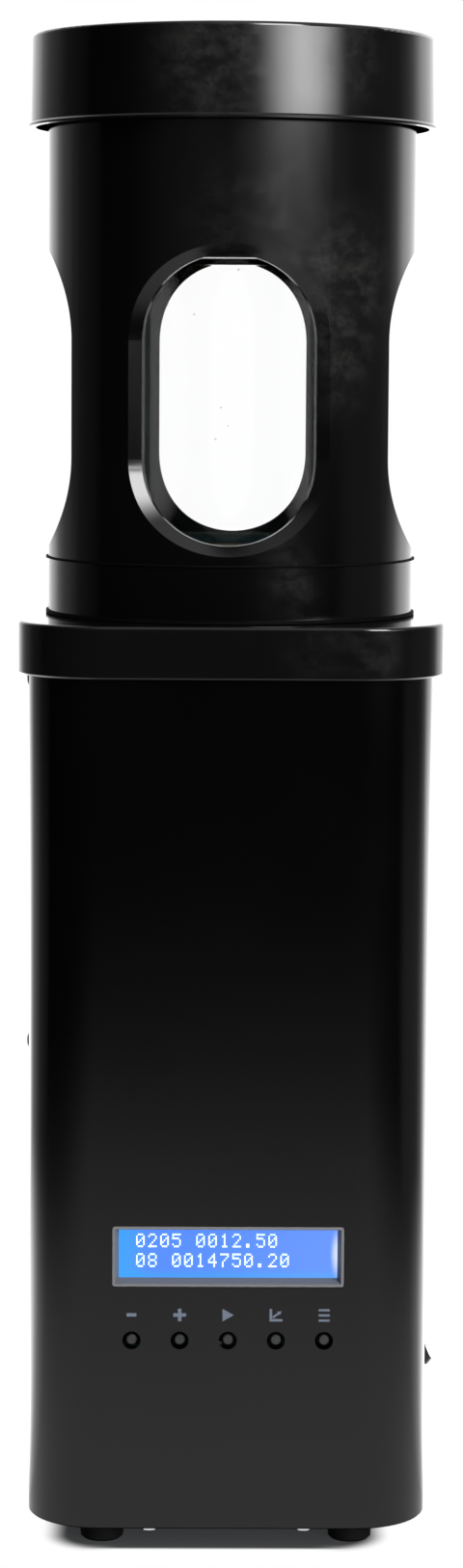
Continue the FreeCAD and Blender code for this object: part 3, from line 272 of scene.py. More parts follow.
def metal(name, base, roughness, stretch=(1.0, 1.0, 1.0), line=0.0008, tint=None):
    """Metal with tool lines: stretch sets the way they run, tint a second colour in patches."""
    finish = Finish(name)
    place = finish.place()
    lines = finish.noise(finish.stretched(place, stretch), line, 3)
    patch = finish.noise(place, 0.012, 4, 0.6)
    return finish.surface({
        "Base Color": finish.blend(patch.rise(0.4, 0.7), base, tint or shade(base, 0.82)),
        "Metallic": 1.0,
        "Roughness": roughness + 0.14 * lines + 0.08 * patch,
        "Normal": finish.bump(lines, 0.00002),
    })


def spun_metal(name, base, roughness):
    """Metal turned or spun about the upright axis, with fine rings."""
    finish = Finish(name)
    place = finish.place()
    x, y, z = finish.split(place)
    radius = (x * x + y * y).root()
    ring_place = finish.add("ShaderNodeCombineXYZ", {}, {0: radius * 2500, 1: z * 2500})
    rings = finish.add("ShaderNodeTexNoise", {"noise_dimensions": "2D"}, {"Vector": ring_place, "Scale": 1.0})
    bloom = finish.noise(place, 0.015, 4)
    return finish.surface({
        "Base Color": finish.blend(bloom.rise(0.4, 0.8), base, (base[0] * 0.75, base[1] * 0.68, base[2] * 0.55)),
        "Metallic": 1.0,
        "Roughness": roughness + 0.12 * rings + 0.05 * bloom,
        "Normal": finish.bump(rings, 0.00002),
    })


def soft_rubber(name, base, roughness, shine=0.2):
    """Matt rubber with a bloom of dust in its grain. Shine is the strength of its mirror part."""
    finish = Finish(name)
    place = finish.place()
    grain = finish.noise(place, 0.0009, 4, 0.6)
    bloom = finish.noise(place, 0.01, 4).rise(0.5, 0.8)
    return finish.surface({
        "Base Color": finish.blend(bloom, base, shade(base, 2.2)),
        "Roughness": roughness + 0.12 * grain,
        "Specular IOR Level": shine,
        "Normal": finish.bump(grain, 0.00004),
    })


def chimney_glass(name):
    """Thick clear glass with specks of chaff and a faint film, and a painted dark teal shade where something stands
    behind its edge.
    """
    finish = Finish(name)
    place = finish.place()
    x, y, z = finish.split(place)
    # Painted shade: the glass turns dark teal where the tube's wall stands behind its sides and the chaff tray behind
    # its foot.
    edge_shade = abs(x).least(abs(y)).rise(*SCREENED_SIDE).most(z.rise(*SCREENED_FOOT))
    speck = finish.cells(place, 0.0045).rise(0.1, 0.05) * finish.noise(place, 0.012, 2).rise(0.6, 0.7)
    film = finish.noise(place, 0.006, 5, 0.65).rise(0.62, 0.85)
    glass = finish.shader({
        "Base Color": (0.999, 1.0, 1.0, 1.0),
        "Roughness": 0.015,
        "IOR": 1.22,
        "Transmission Weight": 1.0,
    })
    # The colour of the painted shade at the edges: a mottle of dark teals.
    shade_mottle = finish.noise(place, 0.0015, 4, 0.7).rise(0.45, 0.85)
    dust = finish.blend(shade_mottle, (0.006, 0.013, 0.016), (0.055, 0.082, 0.09))
    # This diffuse layer is both the specks of chaff and the painted shade at the edges.
    chaff = finish.shader({
        "Base Color": finish.blend(edge_shade, (0.20, 0.17, 0.12), dust),
        "Roughness": 0.7,
        "Specular Tint": (0.35, 0.72, 0.85, 1.0),
    })
    cover = (speck * 0.5 + film * 0.006 + edge_shade * 0.8).least(0.85)
    return finish.done(finish.add("ShaderNodeMixShader", {}, {0: cover, 1: glass, 2: chaff}))


def mica_sheet(name):
    """Pressed mica, in pale flakes with dark edges."""
    finish = Finish(name)
    place = finish.place()
    flakes = finish.cells(place, 0.006, "SMOOTH_F1")
    grain = finish.noise(place, 0.0012, 5, 0.7)
    return finish.surface({
        "Base Color": finish.blend(flakes.rise(0.2, 0.9), (0.52, 0.45, 0.30), (0.27, 0.21, 0.12)),
        "Roughness": 0.28 + 0.3 * grain,
        "Coat Weight": flakes.rise(0.8, 0.2) * 0.5,
        "Normal": finish.bump(flakes + grain * 0.4, 0.00005),
    })


def heating_wire(name):
    """Flat resistance wire, blued and browned by its heat."""
    finish = Finish(name)
    place = finish.place()
    heat = finish.noise(place, 0.008, 3)
    drawn = finish.noise(finish.stretched(place, (1.0, 1.0, 0.1)), 0.0006, 2)
    return finish.surface({
        "Base Color": finish.blend(heat.rise(0.35, 0.65), (0.30, 0.24, 0.19), (0.15, 0.17, 0.23)),
        "Metallic": 1.0,
        "Roughness": 0.34 + 0.2 * drawn,
        "Normal": finish.bump(drawn, 0.00001),
    })


def laminated_iron(name):
    """Stacked stampings, one dark line between each pair."""
    finish = Finish(name)
    place = finish.place()
    z = finish.split(place)[2]
    sheets = finish.add("ShaderNodeMath", {"operation": "PINGPONG"}, {0: z, 1: 0.00025}) * 4000
    rust = finish.noise(place, 0.005, 4)
    return finish.surface({
        "Base Color": finish.blend(rust.rise(0.45, 0.75), (0.16, 0.16, 0.17), (0.12, 0.08, 0.05)),
        "Metallic": 0.85,
        "Roughness": 0.42 + 0.12 * rust,
        "Normal": finish.bump(sheets, 0.00006),
    })


def circuit_board(name):
    """Green solder mask over copper tracks, with tinned pads."""
    finish = Finish(name)
    place = finish.place()
    x, y, z = finish.split(place)
    wander = finish.noise(place, 0.02, 1) * 0.004
    along = finish.add("ShaderNodeMath", {"operation": "PINGPONG"}, {0: x + wander, 1: 0.00125}) * 800
    across = finish.add("ShaderNodeMath", {"operation": "PINGPONG"}, {0: z + wander, 1: 0.00125}) * 800
    region = finish.noise(place, 0.011, 0).rise(0.48, 0.52)
    track = (region * along.rise(0.62, 0.7) + (1 - region) * across.rise(0.62, 0.7)).least(1.0)
    pad = finish.cells(place, 0.0045).rise(0.2, 0.16)
    mask = finish.blend(track, (0.006, 0.052, 0.022), (0.018, 0.115, 0.045))
    return finish.surface({
        "Base Color": finish.blend(pad, mask, (0.52, 0.52, 0.50)),
        "Metallic": pad * 0.9,
        "Roughness": 0.3 + 0.1 * pad,
        "Normal": finish.bump(track + pad, 0.00006),
    })


def power_part(name):
    """Moulded component cases, each block a little different, with a sheen of varnish."""
    finish = Finish(name)
    place = finish.place()
    x = finish.split(place)[0]
    block = finish.cells(finish.stretched(place, (1.0, 1.0, 0.01)), 0.03)
    varnish = finish.noise(place, 0.004, 3)
    return finish.surface({
        "Base Color": finish.blend((x * 20 + block).rise(-0.2, 0.6), (0.02, 0.022, 0.03), (0.045, 0.055, 0.10)),
        "Roughness": 0.3 + 0.2 * varnish,
        "Normal": finish.bump(varnish, 0.00004),
    })


def lit_display(name, blue, edge_blue, level):
    """Backlit blue display: cyan towards its edges, with the lamp's glow at its right end."""
    finish = Finish(name)
    place = finish.place()
    low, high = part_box("display_panel")
    x, y, z = finish.split(place)
    across = (x - low.x) / (high.x - low.x)
    up = (z - low.z) / (high.z - low.z)
    edge = (across.rise(0.16, 0.02) + up.rise(0.24, 0.04) * 0.8).least(1.0)
    beside = (x - (high.x - 0.0004)) * 2.6
    above = (z - (low.z + high.z) / 2) * 0.75
    lamp = (beside * beside + above * above).root().rise(0.0066, 0.001)
    grid = finish.add("ShaderNodeMath", {"operation": "PINGPONG"}, {0: x, 1: 0.00025}) * 4000
    tone = finish.blend(edge, blue, edge_blue)
    tone = finish.blend((across.rise(0.3, 1.0) * 0.06 + lamp * 0.75).least(1.0), tone, (0.80, 0.90, 1.0))
    return finish.surface({
        "Base Color": (0.004, 0.008, 0.03, 1.0),
        "Roughness": 0.12 + 0.02 * grid,
        "Emission Color": tone,
        "Emission Strength": level,
    })


def glowing_figure(name, tint):
    """The lit dots of the display's figures, a little uneven."""
    finish = Finish(name)
    place = finish.place()
    uneven = finish.noise(place, 0.003, 2)
    return finish.surface({
        "Base Color": (0.5, 0.55, 0.6, 1.0),
        "Roughness": 0.2,
        "Emission Color": finish.blend(uneven, shade(tint, 0.88), tint),
        "Emission Strength": 1.0,
    })


def printed_mark(name, tint):
    """Screen-printed ink with pinholes and a slightly broken edge."""
    finish = Finish(name)
    place = finish.place()
    pinhole = finish.noise(place, 0.0005, 3).rise(0.62, 0.75)
    return finish.surface({
        "Base Color": finish.blend(pinhole, tint, shade(tint, 0.45)),
        "Roughness": 0.5 + 0.1 * pinhole,
        "Normal": finish.bump(pinhole, 0.00001),
    })


# ---- Placing ----------------------------------------------------------------
def dress(material, *nodes):
    """Gives carried CAD nodes a finish."""
    for name in nodes:
        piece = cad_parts[name]
        if not piece.material_slots:
            piece.data.materials.append(material)
        for place in piece.material_slots:
            place.material = material


def add_piece(name, mesh, material, body, replaces=()):
    """Links a new piece, rides it on its body and hides the CAD nodes that it stands for."""
    data = bpy.data.meshes.new(name)
    mesh.to_mesh(data)
    mesh.free()
    data.materials.append(material)
    piece = bpy.data.objects.new(name, data)
    bpy.context.scene.collection.objects.link(piece)
    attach(piece, body)
    if replaces:
        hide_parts(*replaces)
    return piece


def raised_plate(mesh, outline, face_y, thickness):
    """A thin plate on the front: an outline of (x, z) points, proud of face_y towards -Y."""
    back = [mesh.verts.new((x, face_y, z)) for x, z in outline]
    front = [mesh.verts.new((x, face_y - thickness, z)) for x, z in outline]
    mesh.faces.new(front)
    mesh.faces.new(list(reversed(back)))
    for index in range(len(outline)):
        following = (index + 1) % len(outline)
        mesh.faces.new((front[following], front[index], back[index], back[following]))


def rectangle(x, z, width, tall):
    return [(x - width / 2, z - tall / 2), (x + width / 2, z - tall / 2),
            (x + width / 2, z + tall / 2), (x - width / 2, z + tall / 2)]


def turned_outline(outline, degrees, x, z):
    """An outline turned about a point and moved there."""
    cosine, sine = math.cos(math.radians(degrees)), math.sin(math.radians(degrees))
    return [(x + u * cosine - v * sine, z + u * sine + v * cosine) for u, v in outline]


# ---- What a user may change ---------------------------------------------------
class RoasterColours(bpy.types.PropertyGroup):
    """Colours and gloss of the roaster's finishes."""

    sleeve_black: FloatVectorProperty(
        name="Sleeve", description="Colour of the powder-coated sleeve", subtype="COLOR", size=3, min=0, max=1,
        default=(0.0006, 0.0006, 0.0007))
    moulding_black: FloatVectorProperty(
        name="Mouldings", description="Colour of the black mouldings", subtype="COLOR", size=3, min=0, max=1,
        default=(0.0013, 0.0013, 0.0014))
    moulding_gloss: FloatProperty(
        name="Moulding roughness", description="Roughness of the black mouldings", min=0.05, max=0.9, default=0.09,
        subtype="FACTOR")
    print_grey: FloatVectorProperty(
        name="Print", description="Colour of the printed button marks", subtype="COLOR", size=3, min=0, max=1,
        default=(0.083, 0.103, 0.137))
    button_grey: FloatVectorProperty(
        name="Buttons", description="Colour of the button stems", subtype="COLOR", size=3, min=0, max=1,
        default=(0.0135, 0.0138, 0.0145))
    # Painted light: this grey stands in for the light that the black frame's upward slopes catch.
    bezel_lit_grey: FloatVectorProperty(
        name="Bezel", description="Colour of the frame round the display", subtype="COLOR", size=3, min=0, max=1,
        default=(0.105, 0.105, 0.109))
    display_blue: FloatVectorProperty(
        name="Display", description="Colour of the lit display", subtype="COLOR", size=3, min=0, max=1,
        default=(0.085, 0.26, 1.0))
    display_edge: FloatVectorProperty(
        name="Display edge", description="Colour of the display towards its edges", subtype="COLOR", size=3, min=0,
        max=1, default=(0.04, 0.35, 0.95))
    figure_white: FloatVectorProperty(
        name="Figures", description="Colour of the lit figures", subtype="COLOR", size=3, min=0, max=1,
        default=(0.55, 0.77, 1.0))


class RoasterSizes(bpy.types.PropertyGroup):
    """Sizes of the printed marks and the display's figures."""

    mark_height: FloatProperty(
        name="Mark size", description="Height and width of a button's mark", default=0.0038, min=0.001, max=0.01,
        unit="LENGTH")
    mark_level: FloatProperty(
        name="Mark level", description="Height of the marks above the floor", default=0.0740, min=0.0, max=0.2,
        unit="LENGTH")
    ink: FloatProperty(
        name="Ink", description="Thickness of the printed ink", default=0.00004, min=0.00001, max=0.0005,
        unit="LENGTH")
    figure_pitch: FloatProperty(
        name="Figure pitch", description="Distance from one figure of the display to the next", default=0.00355,
        min=0.001, max=0.01, unit="LENGTH")
    line_pitch: FloatProperty(
        name="Line pitch", description="Distance between the display's two lines", default=0.00595, min=0.001,
        max=0.02, unit="LENGTH")
    upper_line: StringProperty(
        name="Upper line", description="Figures on the display's upper line", default="0205 0012.50")
    lower_line: StringProperty(
        name="Lower line", description="Figures on the display's lower line", default="08 0014750.20")


class RoasterStudio(bpy.types.PropertyGroup):
    """Light, floor and camera."""

    key_level: FloatProperty(
        name="Key light", description="Radiance of the tall soft window at the right front", default=15.5, min=0,
        max=50)
    key_azimuth: FloatProperty(
        name="Key direction", description="Degrees from straight in front towards the right", default=40.0,
        min=-180, max=180)
    overhead_level: FloatProperty(
        name="Overhead", description="Radiance of the light above", default=0.4, min=0, max=20)
    backdrop_level: FloatProperty(
        name="Backdrop", description="Brightness of the backdrop behind the roaster", default=1.0, min=0, max=20)
    floor_size: FloatProperty(
        name="Floor", description="Half the width of the floor", default=14.0, min=1, max=50, unit="LENGTH")
    lens: FloatProperty(
        name="Lens", description="Focal length of the camera", default=87.5, min=10, max=300, unit="CAMERA")


class RoasterSettings(bpy.types.PropertyGroup):
    """All the settings of the roaster."""

    colours: PointerProperty(type=RoasterColours)
    sizes: PointerProperty(type=RoasterSizes)
    studio: PointerProperty(type=RoasterStudio)


def settings():
    return bpy.context.scene.roaster


# ---- Studio -----------------------------------------------------------------
# Ramps of brightness, fitted to the brightness of the photo and not to a real studio. The
# first two go from sideways to straight behind, the third outwards from the roaster's foot, and the last
# from beside the roaster to behind it.
GLOW_LEFT = [(0.0, 0.023), (0.35, 0.085), (0.45, 0.165), (0.65, 0.305), (0.75, 0.53), (0.83, 1.05), (1.0, 1.5)]
GLOW_RIGHT = [(0.0, 0.09), (0.3, 0.1), (0.46, 0.26), (0.55, 0.47), (0.7, 1.45), (1.0, 1.65)]
# FLOOR_FADE and NEAR_GAIN set a painted pool of light on the floor as mirror rays see it.
FLOOR_FADE = [(0.0, 0.7), (0.15, 0.55), (0.29, 0.3), (0.4, 0.137), (0.47, 0.086), (0.6, 0.038), (0.77, 0.015),
              (1.0, 0.005)]
NEAR_GAIN = [(0.0, 1.07), (0.3, 1.9), (0.62, 4.2), (1.0, 4.2)]
WINDOW_EDGE = 0.882    # cosine of the low window's half width
STRIP_TURN = 0.68      # the tall strip's direction, as a share of the window's
STRIP_EDGE = (0.957, 0.985)
FOOT_START, FADE_LENGTH = 0.06, 2.0
# The drawn shadow: its outline after the photo's, its level, and its share over the light that falls there.
SHADOW_MIDDLE, SHADOW_CORNER, SHADOW_BACK = -0.003, 0.013, (0.052, 0.056)
SHADOW_HALF_WIDTH, SHADOW_HALF_DEPTH = 0.0487, 0.0495
SHADOW_LEVEL, SHADOW_VEIL = 0.036, 0.94


def studio_glow(recipe, x, y):
    """How bright the studio is in a direction along the ground: white behind, dark in front."""
    reach = (x * x + y * y + 1e-6).root()
    facing_back = y / reach
    left = recipe.ramp(facing_back, GLOW_LEFT)
    right = recipe.ramp(facing_back, GLOW_RIGHT)
    rightward = (x / reach).rise(-0.3, 0.3)
    return (1 - rightward) * left * facing_back.rise(-0.02, 0.02) + rightward * right * facing_back.rise(-0.45, -0.15)


def soft_window(x, y, z, azimuth):
    """Light at the right front: a low bright window, a tall strip beside it and a dim glow round its foot."""
    angle = math.radians(azimuth)
    reach = (x * x + y * y + 1e-6).root()
    facing = (x * math.sin(angle) - y * math.cos(angle)) / reach
    turned = angle * STRIP_TURN
    strip = ((x * math.sin(turned) - y * math.cos(turned)) / reach).rise(*STRIP_EDGE)
    low = ((facing - WINDOW_EDGE).most(0.0) / (1 - WINDOW_EDGE)) ** 2 * z.rise(0.062, 0.118) * z.rise(0.16, 0.11)
    tall = strip * z.rise(0.13, 0.22) * z.rise(0.85, 0.5)
    wide = facing.rise(0.2, 0.95) * z.rise(0.15, 0.4) * 0.03
    return low + tall * 1.1 + wide, facing.rise(0.72, 1.02) * z.rise(-0.05, 0.06) * z.rise(0.5, 0.2)


def floor_glow(finish, x, y, level):
    """What mirror rays get from the floor, fitted to the photo's sheen. The camera sees another floor."""
    sideways = (abs(x) - 0.15).most(0.0) * 2.2
    away = (sideways * sideways + y * y).root()
    reach = (x * x + y * y + 1e-6).root()
    across = y / reach
    # Painted light: a pool of light on the floor, bright by the roaster's foot and fading away from it.
    floor_light_pool = finish.ramp((away - FOOT_START) / FADE_LENGTH, FLOOR_FADE) * finish.ramp(across, NEAR_GAIN)
    # Painted shade: under the roaster the floor's glow drops to 4 percent, where its shadow falls.
    shade_under_roaster = abs(x).most(abs(y)).rise(0.059, 0.067, 0.04, 1.0)
    far = studio_glow(finish, x, y) * (level * reach.rise(3.0, 0.9, 1.0, 2.1))
    return floor_light_pool.most(far) * shade_under_roaster


def floor_finish(level):
    """Floor that the camera sees plain white, but for a fixed patch that draws most of the shadow."""
    finish = Finish("studio_floor")
    x, y, z = finish.split(finish.place())
    sideways = abs(x - SHADOW_MIDDLE)
    beside = (sideways - (SHADOW_HALF_WIDTH - SHADOW_CORNER)).most(0.0)
    before = (abs(y) - (SHADOW_HALF_DEPTH - SHADOW_CORNER)).most(0.0)
    outside = (beside ** 2 + before ** 2 + 1e-9).root() - SHADOW_CORNER
    soft_end = sideways.rise(0.028, 0.045)
    crisp, soft = outside.rise(-0.0008, 0.0018), outside.rise(-0.004, 0.0045)
    clear = (crisp + (soft - crisp) * soft_end).most(y.rise(*SHADOW_BACK))
    lit = finish.add("ShaderNodeBsdfDiffuse", {}, {"Color": (0.86, 0.865, 0.88, 1.0)})
    veil = finish.add("ShaderNodeEmission", {}, {"Color": (0.93, 0.97, 1.0, 1), "Strength": SHADOW_LEVEL})
    shaded = finish.add("ShaderNodeMixShader", {}, {0: SHADOW_VEIL, 1: lit, 2: veil})
    white = finish.add("ShaderNodeEmission", {}, {"Color": (1, 1, 1, 1), "Strength": 1.0})
    mirrored = finish.add("ShaderNodeEmission", {}, {"Color": floor_glow(finish, x, y, level), "Strength": 1.0})
    ray = finish.add("ShaderNodeLightPath", {}, {}).socket.node.outputs
    seen = Signal(finish, ray["Is Camera Ray"]).most(Signal(finish, ray["Is Transmission Ray"]))
    shown = finish.add("ShaderNodeMixShader", {}, {0: clear, 1: shaded, 2: white})
    other = finish.add("ShaderNodeMixShader", {}, {0: Signal(finish, ray["Is Glossy Ray"]), 1: lit, 2: mirrored})
    return finish.done(finish.add("ShaderNodeMixShader", {}, {0: seen, 1: other, 2: shown}))


def studio_world(studio):
    """White for the camera. For light and mirror rays it is bright behind, dimmer above and dark in front."""
    world = bpy.data.worlds.new("studio")
    world.use_nodes = True
    recipe = Recipe(world.node_tree)
    x, y, z = recipe.split(recipe.add("ShaderNodeTexCoord", {}, {}, "Generated"))
    upper, foot = soft_window(x, y, z, studio.key_azimuth)
    back = studio_glow(recipe, x, y) * z.rise(0.98, 0.7, 0.1, 1.0) * studio.backdrop_level
    back = back.most(z.rise(0.5, 0.95) * studio.overhead_level)
    front = (y * -1).rise(0.3, 1.0) * z.rise(-0.06, 0.0) * 0.08
    glow = back + front + upper * studio.key_level + foot * (studio.key_level * 0.024)
    ray = recipe.add("ShaderNodeLightPath", {}, {}).socket.node.outputs
    seen = Signal(recipe, ray["Is Camera Ray"]).most(Signal(recipe, ray["Is Transmission Ray"]))
    light = recipe.add("ShaderNodeBackground", {}, {"Color": glow, "Strength": 1.0})
    white = recipe.add("ShaderNodeBackground", {}, {"Color": (1, 1, 1, 1), "Strength": 1.0})
    recipe.add("ShaderNodeOutputWorld", {},
               {"Surface": recipe.add("ShaderNodeMixShader", {}, {0: seen, 1: light, 2: white})})
    bpy.context.scene.world = world


class ROASTER_OT_studio(bpy.types.Operator):
    """Make the floor, the world and the soft light"""

    bl_idname = "roaster.studio"
    bl_label = "Studio"

    def execute(self, context):
        studio = settings().studio
        scene = context.scene
        scene.view_settings.view_transform = "Standard"
        studio_world(studio)
        mesh = bmesh.new()
        half = studio.floor_size
        corners = ((-half, -half), (half, -half), (half, half), (-half, half))
        mesh.faces.new([mesh.verts.new((x, y, 0)) for x, y in corners])
        data = bpy.data.meshes.new("studio_floor")
        mesh.to_mesh(data)
        mesh.free()
        data.materials.append(floor_finish(studio.backdrop_level))
        floor = bpy.data.objects.new("studio_floor", data)
        scene.collection.objects.link(floor)
        return {"FINISHED"}


CAMERA_PLACE = (-0.0140, -1.1597, 0.3550)
CAMERA_AHEAD = (0.01272, 0.99370, -0.11134)
CAMERA_ROLL = 0.36


class ROASTER_OT_camera(bpy.types.Operator):
    """Make the camera, a little above the middle of the roaster"""

    bl_idname = "roaster.camera"
    bl_label = "Camera"

    def execute(self, context):
        ahead = Vector(CAMERA_AHEAD).normalized()
        right = ahead.cross(Vector((0, 0, 1))).normalized()
        up = right.cross(ahead)
        roll = math.radians(CAMERA_ROLL)
        across = right * math.cos(roll) + up * math.sin(roll)
        above = up * math.cos(roll) - right * math.sin(roll)
        lens = bpy.data.cameras.new("camera")
        lens.sensor_fit = "VERTICAL"
        lens.sensor_height = 36.0
        lens.lens = settings().studio.lens
        lens.clip_end = 100.0
        camera = bpy.data.objects.new("camera", lens)
        turn = Matrix((across, above, -ahead)).transposed()
        camera.matrix_world = Matrix.Translation(CAMERA_PLACE) @ turn.to_4x4()
        context.scene.collection.objects.link(camera)
        context.scene.camera = camera
        return {"FINISHED"}


# ---- Finishes of the carried nodes --------------------------------------------
class ROASTER_OT_sleeve(bpy.types.Operator):
    """Powder coat for the sleeve and the base plate"""

    bl_idname = "roaster.sleeve"
    bl_label = "Sleeve"

    def execute(self, context):
        dress(powder_coat("black_powder_coat", settings().colours.sleeve_black), "body_shell", "base_plate")
        return {"FINISHED"}


class ROASTER_OT_mouldings(bpy.types.Operator):
    """Black moulded plastic for the collar, the ring, the tube, the lid and their inner pieces"""

    bl_idname = "roaster.mouldings"
    bl_label = "Mouldings"

    def execute(self, context):
        colours = settings().colours
        black = tuple(colours.moulding_black)
        shell = moulded_plastic("black_plastic", black, colours.moulding_gloss, SMUDGES)
        dress(shell, "lid", "collector_body", "chamber_ring", "chaff_tray")
        dress(moulded_plastic("collar_plastic", shade(black, 1.8), colours.moulding_gloss, SMUDGES), "top_collar")
        dress(moulded_plastic("socket_plastic", shade(black, 1.6), 0.38), "mains_inlet", "rocker_housing")
        # Painted light: the bezel's grey stands in for light falling on black plastic.
        dress(moulded_plastic("bezel_plastic_painted_lit", tuple(colours.bezel_lit_grey), 0.6), "display_bezel")
        dress(plain_plastic("blower_plastic", (0.03, 0.03, 0.033)), "blower_upper", "blower_lower", "impeller")
        dress(moulded_plastic("rocker_gloss", shade(black, 1.3), 0.16), "power_rocker")
        return {"FINISHED"}


class ROASTER_OT_metalwork(bpy.types.Operator):
    """Steel, iron, aluminium and brass for the screws, plates, cup, motor and pins"""

    bl_idname = "roaster.metalwork"
    bl_label = "Metalwork"

    def execute(self, context):
        zinc = metal("zinc_steel", (0.56, 0.57, 0.58), 0.26, (1.0, 0.1, 1.0), 0.001, (0.60, 0.58, 0.50))
        dress(zinc, "foot_screws", "upper_plate", "collar_screws", "mid_plate", "motor_shaft", "motor_mount",
              "board_studs", "board_nuts")
        dress(spun_metal("stainless_steel", (0.52, 0.50, 0.47), 0.22), "chamber_cup", "air_plate", "socket_ring",
              "chaff_screen", "heater_tube", "temperature_probe")
        dress(metal("black_screw", (0.035, 0.035, 0.04), 0.3), "side_screws", "display_frame")
        dress(metal("bright_screw", (0.93, 0.93, 0.94), 0.05), "base_screws")
        dress(spun_metal("motor_steel", (0.60, 0.60, 0.60), 0.24), "motor_can", "motor_bearings")
        dress(laminated_iron("core_iron"), "rotor_core")
        dress(metal("sink_aluminium", (0.66, 0.66, 0.67), 0.3, (1.0, 1.0, 0.05), 0.0006), "heatsink")
        dress(metal("pin_brass", (0.74, 0.68, 0.52), 0.2, (1.0, 0.1, 1.0)), "inlet_pins")
        return {"FINISHED"}


class ROASTER_OT_seals_and_feet(bpy.types.Operator):
    """Rubber and silicone for the feet and the seals"""

    bl_idname = "roaster.seals_and_feet"
    bl_label = "Seals and feet"

    def execute(self, context):
        dress(soft_rubber("black_rubber", (0.002, 0.002, 0.0023), 0.7), "rubber_feet")
        silicone = soft_rubber("silicone", (0.0018, 0.0018, 0.002), 0.6, 0.03)
        dress(silicone, "chamber_seal", "collector_seal", "glass_seal")
        return {"FINISHED"}


class ROASTER_OT_chimney(bpy.types.Operator):
    """Clear glass for the chimney"""

    bl_idname = "roaster.chimney"
    bl_label = "Glass chimney"

    def execute(self, context):
        dress(chimney_glass("clear_glass"), "glass_chimney")
        return {"FINISHED"}


class ROASTER_OT_heater(bpy.types.Operator):
    """Mica, resistance wire and the safety thermostat"""

    bl_idname = "roaster.heater"
    bl_label = "Heater"

    def execute(self, context):
        dress(mica_sheet("mica"), "heater_liner", "heater_former")
        dress(heating_wire("resistance_wire"), "heater_coil")
        dress(plain_plastic("thermostat", (0.62, 0.60, 0.54), 0.4, 0.002), "thermal_cutout")
        return {"FINISHED"}


class ROASTER_OT_electronics(bpy.types.Operator):
    """Circuit boards, their parts and the push switches"""

    bl_idname = "roaster.electronics"
    bl_label = "Electronics"

    def execute(self, context):
        dress(circuit_board("circuit_board"), "display_board", "control_board", "power_board")
        dress(power_part("power_parts"), "board_parts", "button_switches")
        return {"FINISHED"}


class ROASTER_OT_buttons(bpy.types.Operator):
    """Grey plastic for the five button stems"""

    bl_idname = "roaster.buttons"
    bl_label = "Buttons"

    def execute(self, context):
        stem = plain_plastic("button_grey", tuple(settings().colours.button_grey), 0.4, 0.0005)
        dress(stem, "button_minus", "button_plus", "button_start", "button_graph", "button_menu")
        return {"FINISHED"}


# ---- Printed marks --------------------------------------------------------------
def mark_outlines(size):
    """The five marks, left to right: minus, plus, start, graph and list, as outlines about a centre."""
    bar = size * 0.27
    half = size / 2
    thin = size * 0.17
    plus = [(-half, -bar / 2), (-bar / 2, -bar / 2), (-bar / 2, -half), (bar / 2, -half), (bar / 2, -bar / 2),
            (half, -bar / 2), (half, bar / 2), (bar / 2, bar / 2), (bar / 2, half), (-bar / 2, half),
            (-bar / 2, bar / 2), (-half, bar / 2)]
    axes = [(-half, -half), (half, -half), (half, -half + thin * 1.2), (-half + thin * 1.2, -half + thin * 1.2),
            (-half + thin * 1.2, half), (-half, half)]
    arrow = turned_outline([(-0.42 * size, -thin / 2), (0.12 * size, -thin / 2), (0.12 * size, -0.17 * size),
                            (0.44 * size, 0), (0.12 * size, 0.17 * size), (0.12 * size, thin / 2),
                            (-0.42 * size, thin / 2)], 36, 0.09 * size, 0.07 * size)
    return [
        [rectangle(0, 0, size * 0.76, bar)],
        [plus],
        [[(-0.42 * size, -half), (0.46 * size, 0), (-0.42 * size, half)]],
        [axes, arrow],
        [rectangle(0, level * size * 0.41, size * 0.86, thin) for level in (-1, 0, 1)],
    ]


class ROASTER_OT_button_marks(bpy.types.Operator):
    """Print a plain mark above each button"""

    bl_idname = "roaster.button_marks"
    bl_label = "Button marks"

    def execute(self, context):
        sizes = settings().sizes
        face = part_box("body_shell")[0].y
        ink = printed_mark("mark_ink", tuple(settings().colours.print_grey))
        names = ("minus", "plus", "start", "graph", "menu")
        for name, outlines in zip(names, mark_outlines(sizes.mark_height)):
            low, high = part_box("button_" + name)
            mesh = bmesh.new()
            for outline in outlines:
                raised_plate(mesh, turned_outline(outline, 0, (low.x + high.x) / 2, sizes.mark_level),
                             face, sizes.ink)
            add_piece("mark_" + name, mesh, ink, "base")
        return {"FINISHED"}


# ---- Display ----------------------------------------------------------------------
FIGURES = {
    "0": ("01110", "10001", "10011", "10101", "11001", "10001", "01110"),
    "1": ("00100", "01100", "00100", "00100", "00100", "00100", "01110"),
    "2": ("01110", "10001", "00001", "00010", "00100", "01000", "11111"),
    "3": ("11111", "00010", "00100", "00010", "00001", "10001", "01110"),
    "4": ("00010", "00110", "01010", "10010", "11111", "00010", "00010"),
    "5": ("11111", "10000", "11110", "00001", "00001", "10001", "01110"),
    "6": ("00110", "01000", "10000", "11110", "10001", "10001", "01110"),
    "7": ("11111", "00001", "00010", "00100", "01000", "01000", "01000"),
    "8": ("01110", "10001", "10001", "01110", "10001", "10001", "01110"),
    "9": ("01110", "10001", "10001", "01111", "00001", "00010", "01100"),
    ".": ("00000", "00000", "00000", "00000", "00000", "01100", "01100"),
    ":": ("00000", "01100", "01100", "00000", "01100", "01100", "00000"),
    " ": ("00000",) * 7,
}


DOT_PITCH = (0.146, 0.169)  # across and down, as shares of the figures' pitch
DOT_SHARE = 0.84            # how much of its place a dot fills
DOT_THICKNESS, DOT_LIFT = 0.00005, 0.00002
LINES_LEFT, LINES_TOP = -0.0272, 0.0976


